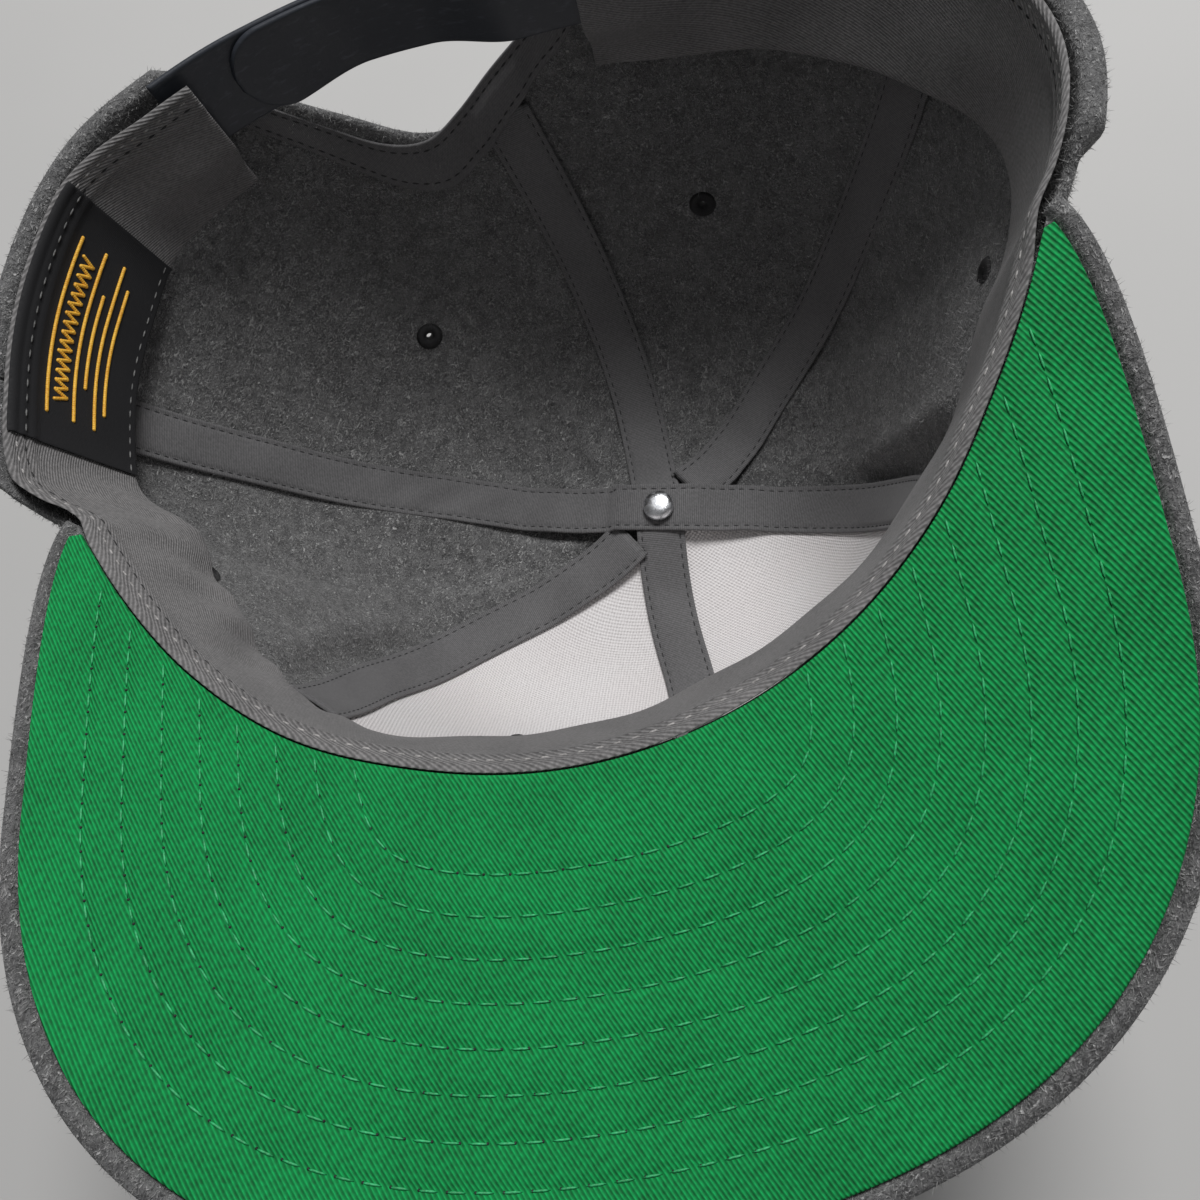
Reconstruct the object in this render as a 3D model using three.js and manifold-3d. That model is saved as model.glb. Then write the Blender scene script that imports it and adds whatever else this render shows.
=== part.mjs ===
// A six-panel wool snapback cap, lying upside down on its crown, opening up, brim toward -Y.
// Millimetres, +Z up. The floor is z = 0 and the rim plane is at crownDepth.
import * as THREE from "three";
import Module from "manifold-3d";

const wasm = await Module();
wasm.setup();

// Driving dimensions
const crownDepth = 112;
const rimReach = 100;
const rimCentreY = -19.5;
const buttonX = 13.2;
const buttonY = -21.8;
const woolThickness = 2;
const hemThickness = 4.4;
const hemDepth = 9;
const buckramThickness = 1;
const linerDrop = 6;
const tapeThickness = 0.8;
const tapeWidth = 12.5;
const sweatbandWidth = 31;
const sweatbandThickness = 0.9;
const labelLength = 55;
const labelThickness = 0.5;
const brimHalfWidth = 91.7;
const brimReach = 70;
const brimThickness = 3.6;
const brimEdge = 2;
const underBrimThickness = 0.9;
const brimBend = 10.7;
const brimTwist = 13.4;
const strapWidth = 19;
const strapThickness = 1.1;
const strapHolePitch = 9;
const strapHoleRadius = 1.9;
const pegRadius = 1.4;
const pegCount = 7;
const bindingWidth = 10;
const rivetRadius = 4;
const rivetHeight = 2.2;
const buttonRadius = 6.6;
const buttonHeight = 3.8;
const eyeletRadius = 4.2;
const eyeletHole = 1.6;
const eyeletWall = 0.7;
const sagDepth = 5;
const clothGap = 0.35;
const chordRoom = 0.85;
const seamGap = 0.4;

// Azimuths in degrees about the rim centre: 0 is +X, 90 is the back, -90 is the front.
const brimAzimuth = { left: -168, right: -12 };
const archAzimuth = { left: 129, right: 70 };

// The rim in plan, and the smoother outline that the crown takes lower down: shares of rimReach.
const RIM = [
  { azimuth: -168, reach: 0.878, deep: 0.91 },
  { azimuth: -155, reach: 0.844, deep: 0.86 },
  { azimuth: -140, reach: 0.83, deep: 0.835 },
  { azimuth: -125, reach: 0.826, deep: 0.826 },
  { azimuth: -110, reach: 0.814, deep: 0.816 },
  { azimuth: -90, reach: 0.815, deep: 0.815 },
  { azimuth: -75, reach: 0.818, deep: 0.818 },
  { azimuth: -57, reach: 0.826, deep: 0.826 },
  { azimuth: -41, reach: 0.834, deep: 0.836 },
  { azimuth: -30, reach: 0.841, deep: 0.855 },
  { azimuth: -19, reach: 0.864, deep: 0.885 },
  { azimuth: -12, reach: 0.886, deep: 0.91 },
  { azimuth: -7.4, reach: 0.92, deep: 0.93 },
  { azimuth: -2, reach: 0.954, deep: 0.952 },
  { azimuth: 4, reach: 0.984, deep: 0.975 },
  { azimuth: 10.5, reach: 1.006, deep: 0.996 },
  { azimuth: 20, reach: 1.03, deep: 1.015 },
  { azimuth: 32, reach: 1.045, deep: 1.025 },
  { azimuth: 44, reach: 1.01, deep: 1 },
  { azimuth: 57, reach: 0.925, deep: 0.93 },
  { azimuth: 70, reach: 0.86, deep: 0.87 },
  { azimuth: 88, reach: 0.828, deep: 0.835 },
  { azimuth: 104, reach: 0.863, deep: 0.863 },
  { azimuth: 118, reach: 0.923, deep: 0.915 },
  { azimuth: 130, reach: 0.97, deep: 0.965 },
  { azimuth: 142, reach: 1.018, deep: 1.005 },
  { azimuth: 158, reach: 1.02, deep: 1.01 },
  { azimuth: 172, reach: 1.01, deep: 1 },
  { azimuth: 183, reach: 1, deep: 0.975 },
  { azimuth: 187, reach: 0.95, deep: 0.957 },
  { azimuth: 189.5, reach: 0.905, deep: 0.935 },
];

// The crown's wall from rim to button, in equal steps: how far out (share of the rim) and how deep.
const FRONT_WALL = [
  { reach: 1, depth: 0 },
  { reach: 0.985, depth: 0.15 },
  { reach: 0.962, depth: 0.3 },
  { reach: 0.925, depth: 0.45 },
  { reach: 0.88, depth: 0.6 },
  { reach: 0.82, depth: 0.76 },
  { reach: 0.73, depth: 0.89 },
  { reach: 0.6, depth: 0.97 },
  { reach: 0.44, depth: 1 },
  { reach: 0.22, depth: 0.995 },
  { reach: 0, depth: 0.94 },
];
const BACK_WALL = [
  { reach: 1, depth: 0 },
  { reach: 0.99, depth: 0.13 },
  { reach: 0.965, depth: 0.28 },
  { reach: 0.91, depth: 0.45 },
  { reach: 0.835, depth: 0.62 },
  { reach: 0.74, depth: 0.78 },
  { reach: 0.62, depth: 0.9 },
  { reach: 0.48, depth: 0.97 },
  { reach: 0.34, depth: 1 },
  { reach: 0.2, depth: 0.995 },
  { reach: 0, depth: 0.94 },
];

// Azimuth of each seam at five even stations from the rim to the button.
const SEAM = {
  leftFront: [-133, -138.3, -147.5, -151, -139],
  frontCentre: [-79, -80, -81, -83.3, -93],
  rightFront: [-38, -32, -20, -12, -9],
  rightRear: [29, 29.2, 31.2, 31.3, 21],
  backCentre: [94, 90, 85, 82, 82.5],
  leftRear: [171, 168, 163.5, 160.5, 165.5],
};

// The arch in the back panels: depth as a share of the way from rim to button.
const ARCH = [
  { azimuth: 70, depth: 0 },
  { azimuth: 76, depth: 0.092 },
  { azimuth: 82, depth: 0.138 },
  { azimuth: 89, depth: 0.183 },
  { azimuth: 97, depth: 0.232 },
  { azimuth: 104, depth: 0.257 },
  { azimuth: 111, depth: 0.238 },
  { azimuth: 117, depth: 0.18 },
  { azimuth: 123, depth: 0.1 },
  { azimuth: 129, depth: 0 },
];

// How far the sweatband's free edge leans into the cap, as a share of its width.
const LEAN = [
  { azimuth: 70, lean: 0.24 },
  { azimuth: 84, lean: 0.24 },
  { azimuth: 126, lean: 0.24 },
  { azimuth: 146, lean: 0.24 },
  { azimuth: 161, lean: 0.3 },
  { azimuth: 177, lean: 0.31 },
  { azimuth: 181, lean: 0.38 },
  { azimuth: 185, lean: 0.46 },
  { azimuth: 189, lean: 0.42 },
  { azimuth: 194, lean: 0.3 },
  { azimuth: 201, lean: 0.26 },
  { azimuth: 206, lean: 0.25 },
  { azimuth: 212, lean: 0.22 },
  { azimuth: 218, lean: 0.22 },
  { azimuth: 228, lean: 0.22 },
  { azimuth: 239, lean: 0.22 },
  { azimuth: 250, lean: 0.26 },
  { azimuth: 263, lean: 0.32 },
  { azimuth: 280, lean: 0.37 },
  { azimuth: 296, lean: 0.35 },
  { azimuth: 310, lean: 0.28 },
  { azimuth: 324, lean: 0.24 },
  { azimuth: 336, lean: 0.22 },
  { azimuth: 350, lean: 0.2 },
  { azimuth: 366, lean: 0.19 },
  { azimuth: 376, lean: 0.22 },
  { azimuth: 390, lean: 0.38 },
  { azimuth: 405, lean: 0.34 },
  { azimuth: 430, lean: 0.24 },
];

const smoothstep = (from, to, x) => THREE.MathUtils.smoothstep(x, from, to);
const lerp = THREE.MathUtils.lerp;
const radians = THREE.MathUtils.degToRad;

// Smooth value of one column of a table at a place along another column.
function along(table, key, column, place) {
  const last = table.length - 1;
  let i = 0;
  while (i < last - 1 && place > table[i + 1][key]) i += 1;
  const slope = (k) => {
    const a = table[Math.max(k - 1, 0)];
    const b = table[Math.min(k + 1, last)];
    return (b[column] - a[column]) / (b[key] - a[key]);
  };
  const a = table[i];
  const b = table[i + 1];
  const span = b[key] - a[key];
  const t = THREE.MathUtils.clamp((place - a[key]) / span, 0, 1);
  const h = 2 * t ** 3 - 3 * t ** 2 + 1;
  return h * a[column] + (1 - h) * b[column]
    + (t ** 3 - 2 * t ** 2 + t) * span * slope(i) + (t ** 3 - t ** 2) * span * slope(i + 1);
}

// Even stations as rows of a table, so that along() can read them.
const stations = (values) => values.map((value, i) => ({ way: i / (values.length - 1), value }));
const wallRows = (wall) => wall.map((row, i) => ({ ...row, way: i / (wall.length - 1) }));
const frontWall = wallRows(FRONT_WALL);
const backWall = wallRows(BACK_WALL);
const seams = Object.fromEntries(Object.entries(SEAM).map(([name, v]) => [name, stations(v)]));
const seamAzimuth = (name, way) => along(seams[name], "way", "value", way);

// The rim table closed on itself, with a row beyond each end.
const first = RIM[0].azimuth;
const rimRows = [
  { ...RIM[RIM.length - 1], azimuth: RIM[RIM.length - 1].azimuth - 360 },
  ...RIM,
  { ...RIM[0], azimuth: first + 360 },
  { ...RIM[1], azimuth: RIM[1].azimuth + 360 },
];
const wrap = (azimuth) => THREE.MathUtils.euclideanModulo(azimuth - first, 360) + first;

// Height of the rim and brim above the level rim plane: the bend and twist that the cap lies with.
function lift(x, y) {
  const side = x / brimHalfWidth;
  const mid = y / brimHalfWidth;
  const behind = smoothstep(-0.4, 0.68, mid);
  const twist = mid < -0.4 ? (mid + 1) / 0.735 : 0.816 * (1 - behind);
  return brimBend * side * side * (1 - 0.7 * behind) + brimTwist * side * twist;
}

// Point of the crown's inner face: way runs from 0 at the rim to 1 at the button.
function crownPoint(azimuth, way) {
  const a = wrap(azimuth);
  const turn = radians(azimuth);
  const deep = smoothstep(0, 0.22, way);
  const reach = rimReach * lerp(along(rimRows, "azimuth", "reach", a), along(rimRows, "azimuth", "deep", a), deep);
  const rimX = reach * Math.cos(turn);
  const rimY = rimCentreY + reach * Math.sin(turn);
  const front = smoothstep(-0.35, 0.75, -Math.sin(turn));
  const out = lerp(along(backWall, "way", "reach", way), along(frontWall, "way", "reach", way), front);
  const down = lerp(along(backWall, "way", "depth", way), along(frontWall, "way", "depth", way), front);
  const rimZ = crownDepth + lift(rimX, rimY);
  return new THREE.Vector3(
    lerp(buttonX, rimX, out),
    lerp(buttonY, rimY, out),
    lerp(rimZ, woolThickness, Math.min(down, 1)),
  );
}

// Unit normal of the crown there, pointing into the cap.
function crownNormal(azimuth, way) {
  const across = crownPoint(azimuth + 0.5, way).sub(crownPoint(azimuth - 0.5, way));
  const downward = crownPoint(azimuth, Math.min(way + 0.004, 1)).sub(crownPoint(azimuth, Math.max(way - 0.004, 0)));
  return across.cross(downward).normalize();
}

// Crown point moved into the cap by some millimetres, never below the floor.
function crownAt(azimuth, way, inward) {
  const p = crownPoint(azimuth, way).addScaledVector(crownNormal(azimuth, way), inward);
  p.z = Math.max(p.z, 0);
  return p;
}

// Way along the wall at which it is so many millimetres below the rim.
function wayAtDepth(azimuth, depth) {
  const top = crownPoint(azimuth, 0).z;
  let low = 0;
  let high = 0.5;
  for (let i = 0; i < 30; i += 1) {
    const middle = (low + high) / 2;
    if (top - crownPoint(azimuth, middle).z < depth) low = middle;
    else high = middle;
  }
  return low;
}

// Closed body between two faces of a grid: near(u, v) and far(u, v), with u and v from 0 to 1.
function slab(columns, rows, near, far) {
  const points = [];
  for (const face of [near, far]) {
    for (let r = 0; r <= rows; r += 1) {
      for (let c = 0; c <= columns; c += 1) points.push(face(c / columns, r / rows));
    }
  }
  const at = (side, c, r) => (side * (rows + 1) + r) * (columns + 1) + c;
  const index = [];
  const quad = (a, b, c, d) => index.push(a, b, c, a, c, d);
  for (let r = 0; r < rows; r += 1) {
    for (let c = 0; c < columns; c += 1) {
      quad(at(0, c, r), at(0, c + 1, r), at(0, c + 1, r + 1), at(0, c, r + 1));
      quad(at(1, c, r), at(1, c, r + 1), at(1, c + 1, r + 1), at(1, c + 1, r));
    }
  }
  for (let c = 0; c < columns; c += 1) {
    quad(at(0, c, 0), at(1, c, 0), at(1, c + 1, 0), at(0, c + 1, 0));
    quad(at(0, c + 1, rows), at(1, c + 1, rows), at(1, c, rows), at(0, c, rows));
  }
  for (let r = 0; r < rows; r += 1) {
    quad(at(0, 0, r + 1), at(1, 0, r + 1), at(1, 0, r), at(0, 0, r));
    quad(at(0, columns, r), at(1, columns, r), at(1, columns, r + 1), at(0, columns, r + 1));
  }
  return bodyFrom(points.flatMap((p) => p.toArray()), index);
}

// Geometry from positions and triangles, turned so that its faces point out.
function bodyFrom(positions, index) {
  const geometry = new THREE.BufferGeometry();
  geometry.setAttribute("position", new THREE.Float32BufferAttribute(positions, 3));
  const p = (i) => new THREE.Vector3().fromArray(positions, 3 * i);
  let volume = 0;
  for (let i = 0; i < index.length; i += 3) {
    volume += p(index[i]).dot(p(index[i + 1]).cross(p(index[i + 2])));
  }
  if (volume < 0) index.reverse();
  geometry.setIndex(index);
  geometry.computeVertexNormals();
  return geometry;
}

// Geometry as a solid for cutting and joining, with shared vertices merged by position.
function toSolid(geometry) {
  const source = geometry.getAttribute("position");
  const order = geometry.index ? [...geometry.index.array] : [...Array(source.count).keys()];
  const seen = new Map();
  const vertices = [];
  const remap = order.map((i) => {
    const xyz = [source.getX(i), source.getY(i), source.getZ(i)];
    const key = xyz.map((value) => Math.round(value * 1e4)).join();
    if (!seen.has(key)) {
      seen.set(key, vertices.length / 3);
      vertices.push(...xyz);
    }
    return seen.get(key);
  });
  const triangles = [];
  for (let i = 0; i < remap.length; i += 3) {
    const [a, b, c] = remap.slice(i, i + 3);
    if (a !== b && b !== c && c !== a) triangles.push(a, b, c);
  }
  return new wasm.Manifold(new wasm.Mesh({
    numProp: 3,
    vertProperties: new Float32Array(vertices),
    triVerts: new Uint32Array(triangles),
  }));
}

function fromSolid(solid) {
  const mesh = solid.getMesh();
  return bodyFrom([...mesh.vertProperties], [...mesh.triVerts]);
}

// Geometry placed with its own Y axis along a direction.
function stood(geometry, direction, place) {
  const turn = new THREE.Quaternion().setFromUnitVectors(new THREE.Vector3(0, 1, 0), direction);
  return geometry.applyQuaternion(turn).translate(place.x, place.y, place.z);
}

// The six panels, each between two seams, in order round the cap.
const PANELS = [
  { name: "panel_front_left", from: "leftFront", to: "frontCentre", eyelet: { across: 0.45, way: 0.5 }, lined: true },
  { name: "panel_front_right", from: "frontCentre", to: "rightFront", eyelet: { across: 0.5, way: 0.5 }, lined: true },
  { name: "panel_side_right", from: "rightFront", to: "rightRear", eyelet: { across: 0.5, way: 0.34 }, soft: "from" },
  { name: "panel_back_right", from: "rightRear", to: "backCentre", eyelet: { across: 0.5, way: 0.43 }, dense: "to" },
  { name: "panel_back_left", from: "backCentre", to: "leftRear", eyelet: { across: 0.52, way: 0.51 }, dense: "from" },
  { name: "panel_side_left", from: "leftRear", to: "leftFront", eyelet: { across: 0.45, way: 0.3 }, soft: "to" },
];
const panelEnd = 0.975;
const PANEL_COLUMNS = 9;
const PANEL_ROWS = 13;

// The back panels' columns lie closer together at the arch.
function column(panel, u) {
  if (panel.dense === "from") return u ** 1.25;
  if (panel.dense === "to") return 1 - (1 - u) ** 1.25;
  return u;
}

// Azimuth across a panel at one height: share 0 is its first seam and 1 its last.
function panelAzimuth(panel, share, way) {
  const from = seamAzimuth(panel.from, way);
  const to = seamAzimuth(panel.to, way);
  return from + (THREE.MathUtils.euclideanModulo(to - from, 360)) * share;
}

// The soft side panels sag into the cap beside the stiff front ones.
function sag(panel, share, way) {
  if (!panel.soft) return 0;
  const away = panel.soft === "from" ? share : 1 - share;
  const height = smoothstep(0.16, 0.3, way) * (1 - smoothstep(0.5, 0.68, way));
  return sagDepth * height * smoothstep(0.13, 0.26, away) * (1 - smoothstep(0.35, 0.85, away));
}

// Where a panel starts: at the rim, under the brim's edge, or at the arch.
function panelStart(azimuth) {
  const a = wrap(azimuth);
  const arch = a > archAzimuth.right && a < archAzimuth.left ? along(ARCH, "azimuth", "depth", a) : 0;
  const leftEnd = brimAzimuth.left + 360;
  const under = a > 180
    ? smoothstep(leftEnd - 9, leftEnd - 5, a)
    : 1 - smoothstep(brimAzimuth.right + 4, brimAzimuth.right + 8, a);
  return Math.max(arch, under > 0 ? wayAtDepth(azimuth, under * (brimThickness + 2 * clothGap)) : 0);
}

// Point of a panel's cloth, so many millimetres into the cap from its inner face.
function panelPoint(panel, share, way, inward) {
  const azimuth = panelAzimuth(panel, share, way);
  return crownAt(azimuth, way, inward + sag(panel, share, way));
}

function panelLayer(panel, u, v, inward, inset, drop = 0) {
  const share = column(panel, u);
  const azimuth = panelAzimuth(panel, share, 0);
  const start = panelStart(azimuth) + (drop > 0 ? wayAtDepth(azimuth, drop) : 0);
  const way = lerp(start, panelEnd, v);
  const width = panelPoint(panel, 0, way, 0).distanceTo(panelPoint(panel, 1, way, 0));
  const edge = Math.min(inset / Math.max(width, 1), 0.2);
  return panelPoint(panel, lerp(edge, 1 - edge, share), way, inward);
}

// The wool is turned in and doubled at the rim.
function woolDepth(panel, u, v) {
  const share = column(panel, u);
  const start = panelStart(panelAzimuth(panel, share, 0));
  const way = lerp(start, panelEnd, v);
  const fallen = crownPoint(panelAzimuth(panel, share, 0), start).z
    - crownPoint(panelAzimuth(panel, share, way), way).z;
  const turnedIn = start > 0.001 ? 0 : 1 - smoothstep(hemDepth * 0.4, hemDepth, fallen);
  return lerp(woolThickness, hemThickness, turnedIn);
}

function panelGeometry(panel) {
  return slab(PANEL_COLUMNS, PANEL_ROWS,
    (u, v) => panelLayer(panel, u, v ** 1.15, 0, seamGap / 2),
    (u, v) => panelLayer(panel, u, v ** 1.15, -woolDepth(panel, u, v ** 1.15), seamGap / 2));
}

function buckramGeometry(panel) {
  return slab(PANEL_COLUMNS, PANEL_ROWS,
    (u, v) => panelLayer(panel, u, v ** 1.15, 1.2 * clothGap, 1, linerDrop),
    (u, v) => panelLayer(panel, u, v ** 1.15, 1.2 * clothGap + buckramThickness, 1, linerDrop));
}

// Level of a tape's underside: over the buckram or the bare wool, and one step higher over each
// tape that it crosses near the button.
const tapeStep = tapeThickness + clothGap;
function tapeLevel(way, lined, steps) {
  const base = clothGap + (lined ? buckramThickness + clothGap : 0) + chordRoom;
  return base + steps * tapeStep * smoothstep(0.8, 0.88, way);
}

// A flat ribbon along points with their normals.
function ribbon(path, width, thickness) {
  const place = (u, v, height) => {
    const i = Math.round(v * (path.length - 1));
    const before = path[Math.max(i - 1, 0)].point;
    const after = path[Math.min(i + 1, path.length - 1)].point;
    const side = after.clone().sub(before).cross(path[i].normal).normalize();
    return path[i].point.clone().addScaledVector(side, (u - 0.5) * width).addScaledVector(path[i].normal, height);
  };
  return slab(2, path.length - 1, (u, v) => place(u, v, 0), (u, v) => place(u, v, thickness));
}

function tapePath(seam, from, to, lined, steps, count) {
  return Array.from({ length: count + 1 }, (_, i) => {
    const way = lerp(from, to, i / count);
    const azimuth = seamAzimuth(seam, way);
    return {
      point: crownAt(azimuth, way, tapeLevel(way, lined, steps)),
      normal: crownNormal(azimuth, Math.min(way, 0.97)),
    };
  });
}

const tapeStart = 0.1;
const tapeEnd = 0.95;
const TAPES = [
  { name: "tape_front_centre", seam: "frontCentre", start: tapeStart, lined: true, steps: 0 },
  { name: "tape_front_left", seam: "leftFront", start: tapeStart, lined: true, steps: 1 },
  { name: "tape_back_centre", seam: "backCentre", start: 0.31, lined: false, steps: 0 },
  { name: "tape_rear_right", seam: "rightRear", start: tapeStart, lined: false, steps: 1 },
];

// One tape runs right across the crown, over the button, from the left rear to the right front.
function crossTapePath() {
  const near = tapePath("leftRear", tapeStart, 0.955, false, 2, 22);
  const far = tapePath("rightFront", tapeStart, 0.955, true, 2, 22).reverse();
  const level = Math.max(near[near.length - 1].point.z, far[0].point.z);
  near[near.length - 1].point.z = level;
  far[0].point.z = level;
  return [...near, ...far];
}

// The strap's outer half lies on the arch binding, and its inner half on the outer one.
const strapOuter = 3 * clothGap + tapeThickness + 0.3;
const strapInner = strapOuter + strapThickness + clothGap;

// The sweatband hangs from the rim and leans into the cap: v runs from 0 at the rim to 1.
const bandFrom = archAzimuth.left - 3;
const bandTo = archAzimuth.right + 360 + 2;
function bandPoint(azimuth, v, inward) {
  const a = azimuth > 430 ? 430 : azimuth;
  const top = crownPoint(azimuth, 0);
  const atArch = Math.max(
    1 - smoothstep(bandFrom + 6, bandFrom + 20, azimuth),
    smoothstep(bandTo - 20, bandTo - 6, azimuth),
  );
  const stand = 3 * clothGap + atArch * (strapInner + strapThickness);
  const lean = along(LEAN, "azimuth", "lean", a) * sweatbandWidth;
  const fall = Math.sqrt(sweatbandWidth ** 2 - lean ** 2);
  const turn = radians(azimuth);
  const into = stand + inward + lean * v;
  return new THREE.Vector3(
    top.x - into * Math.cos(turn),
    top.y - into * Math.sin(turn),
    top.z - 0.3 - fall * v,
  );
}

function sweatbandGeometry() {
  const azimuth = (u) => lerp(bandFrom, bandTo, u);
  return slab(64, 3,
    (u, v) => bandPoint(azimuth(u), v, 0),
    (u, v) => bandPoint(azimuth(u), v, sweatbandThickness));
}

// The woven label lies on the sweatband at the left side, as tall as the band.
const labelMiddle = 162;
function labelGeometry() {
  const half = THREE.MathUtils.radToDeg(labelLength / 2 / rimReach) * 1.0;
  const azimuth = (u) => lerp(labelMiddle - half, labelMiddle + half, u);
  const level = sweatbandThickness + 1.5 * clothGap;
  return slab(12, 3,
    (u, v) => bandPoint(azimuth(u), lerp(0.03, 0.985, v), level),
    (u, v) => bandPoint(azimuth(u), lerp(0.03, 0.985, v), level + labelThickness));
}

// Brim outline: t runs from -1 at the left corner through 0 at the tip to 1 at the right corner.
const brimCorner = { x: 0.945, y: 0.405 };
const widest = { x: brimHalfWidth, y: -0.997 * brimHalfWidth };
const tipY = rimCentreY - RIM[5].reach * rimReach - brimReach;
const cornerCurve = new THREE.CubicBezierCurve(
  new THREE.Vector2(brimCorner.x * brimHalfWidth, -brimCorner.y * brimHalfWidth),
  new THREE.Vector2((brimCorner.x + 0.065) * brimHalfWidth, -(brimCorner.y + 0.086) * brimHalfWidth),
  new THREE.Vector2(widest.x, widest.y + 0.16 * brimHalfWidth),
  new THREE.Vector2(widest.x, widest.y),
);
const frontCurve = new THREE.CubicBezierCurve(
  new THREE.Vector2(widest.x, widest.y),
  new THREE.Vector2(widest.x, lerp(widest.y, tipY, 0.64)),
  new THREE.Vector2(0.64 * widest.x, tipY),
  new THREE.Vector2(0, tipY),
);

function outlinePoint(t, beyond) {
  const share = 1 - Math.abs(t);
  const curve = share < 0.25 ? cornerCurve : frontCurve;
  const along01 = share < 0.25 ? share / 0.25 : (share - 0.25) / 0.75;
  const point = curve.getPoint(along01);
  const tangent = curve.getTangent(along01);
  const side = t < 0 ? -1 : 1;
  return new THREE.Vector2((point.x - tangent.y * beyond) * side, point.y + tangent.x * beyond);
}

// Inner edge of the brim: the joint line round the front of the rim.
function jointPoint(t, beyond) {
  const middle = (brimAzimuth.left + brimAzimuth.right) / 2;
  const azimuth = middle + (brimAzimuth.right - middle) * t;
  const p = crownPoint(azimuth, 0);
  const turn = radians(azimuth);
  return new THREE.Vector2(p.x + beyond * Math.cos(turn), p.y + beyond * Math.sin(turn));
}

function brimPoint(t, v, inner, outer, height) {
  const p = jointPoint(t, inner).lerp(outlinePoint(t, outer), v);
  return new THREE.Vector3(p.x, p.y, crownDepth + lift(p.x, p.y) + height);
}

// The green cloth stops just short of the corners.
const greenSpan = 0.98;

// Steps across the wool brim: flat under the green, then up and over the rolled edge.
const BRIM_STEPS = [
  { across: 0, top: -1, beyond: -clothGap },
  { across: 0.25, top: -1, beyond: -clothGap },
  { across: 0.5, top: -1, beyond: -clothGap },
  { across: 0.75, top: -1, beyond: -clothGap },
  { across: 1, top: -1, beyond: -clothGap },
  { across: 1, top: 0, beyond: 0 },
  { across: 1, top: -0.35, beyond: brimEdge },
];
function brimGeometry() {
  const recess = underBrimThickness + 1.5 * clothGap;
  const side = (u, v, height) => {
    const row = BRIM_STEPS[Math.round(v * (BRIM_STEPS.length - 1))];
    return brimPoint(lerp(-1, 1, u), row.across, clothGap / 2, row.beyond, height(row));
  };
  return slab(30, BRIM_STEPS.length - 1,
    (u, v) => side(u, v, (row) => row.top * recess),
    (u, v) => side(u, v, (row) => (row.beyond > 0 ? -0.65 : -1) * brimThickness));
}

function underBrimGeometry() {
  return slab(30, 4,
    (u, v) => brimPoint(lerp(-greenSpan, greenSpan, u), v, clothGap / 2, -3 * clothGap, -underBrimThickness),
    (u, v) => brimPoint(lerp(-greenSpan, greenSpan, u), v, clothGap / 2, -3 * clothGap, 0));
}

// Binding tape along the arch, on the inside of the back panels.
function bindingGeometry() {
  const azimuth = (u) => lerp(archAzimuth.right + 2, archAzimuth.left - 2, u);
  const way = (u, v) => {
    const start = along(ARCH, "azimuth", "depth", azimuth(u));
    return start + wayAtDepth(azimuth(u), v * bindingWidth) + 0.004;
  };
  const level = 2 * clothGap;
  return slab(20, 2,
    (u, v) => crownAt(azimuth(u), way(u, v), level),
    (u, v) => crownAt(azimuth(u), way(u, v), level + tapeThickness));
}

// The strap's two halves follow the rim across the arch, one inside the other.
const strapTop = 1.8;
const strapLean = 0.16 * strapWidth;
const strapBow = 1.6;
function strapPoint(azimuth, v, inward) {
  const top = crownPoint(azimuth, 0);
  const turn = radians(azimuth);
  const open = smoothstep(archAzimuth.right + 12, archAzimuth.right + 26, azimuth)
    * (1 - smoothstep(archAzimuth.left - 24, archAzimuth.left - 10, azimuth));
  const into = inward + strapLean * v * (1 - open) - strapBow * open;
  return new THREE.Vector3(
    top.x - into * Math.cos(turn),
    top.y - into * Math.sin(turn),
    top.z + strapTop - strapWidth * v,
  );
}

// A strap half from one azimuth to another: its free end is round.
function strapBody(fixed, free, inward) {
  const roundShare = 0.12;
  const narrow = (u) => {
    const near = THREE.MathUtils.clamp((u - (1 - roundShare)) / roundShare, 0, 1);
    return 0.5 * (1 - Math.sqrt(1 - Math.min(near * near, 0.96)));
  };
  return slab(14, 2,
    (u, v) => strapPoint(lerp(fixed, free, u), lerp(narrow(u), 1 - narrow(u), v), inward),
    (u, v) => strapPoint(lerp(fixed, free, u), lerp(narrow(u), 1 - narrow(u), v), inward + strapThickness));
}

// Pegs and holes sit at the same places along the strap.
const pegMiddle = (archAzimuth.left + archAzimuth.right) / 2;
const pegStep = THREE.MathUtils.radToDeg(strapHolePitch / (0.85 * rimReach));
function pegs(radius, from, to) {
  const solids = [];
  for (let i = 0; i < pegCount; i += 1) {
    const azimuth = pegMiddle + (i - (pegCount - 1) / 2) * pegStep;
    const turn = radians(azimuth);
    const direction = new THREE.Vector3(Math.cos(turn), Math.sin(turn), 0);
    const middle = strapPoint(azimuth, 0.5, (from + to) / 2);
    solids.push(toSolid(stood(new THREE.CylinderGeometry(radius, radius, Math.abs(to - from), 8), direction, middle)));
  }
  return solids;
}

function strapHolesGeometry() {
  let solid = toSolid(strapBody(archAzimuth.left + 3, archAzimuth.right + 6, strapOuter));
  for (const hole of pegs(strapHoleRadius, strapOuter - 2, strapOuter + strapThickness + 2)) {
    solid = solid.subtract(hole);
  }
  return fromSolid(solid);
}

function strapPegsGeometry() {
  let solid = toSolid(strapBody(archAzimuth.right - 3, archAzimuth.left - 6, strapInner));
  for (const peg of pegs(pegRadius, strapOuter - 0.8, strapInner + strapThickness / 2)) {
    solid = solid.add(peg);
  }
  return fromSolid(solid);
}

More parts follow.
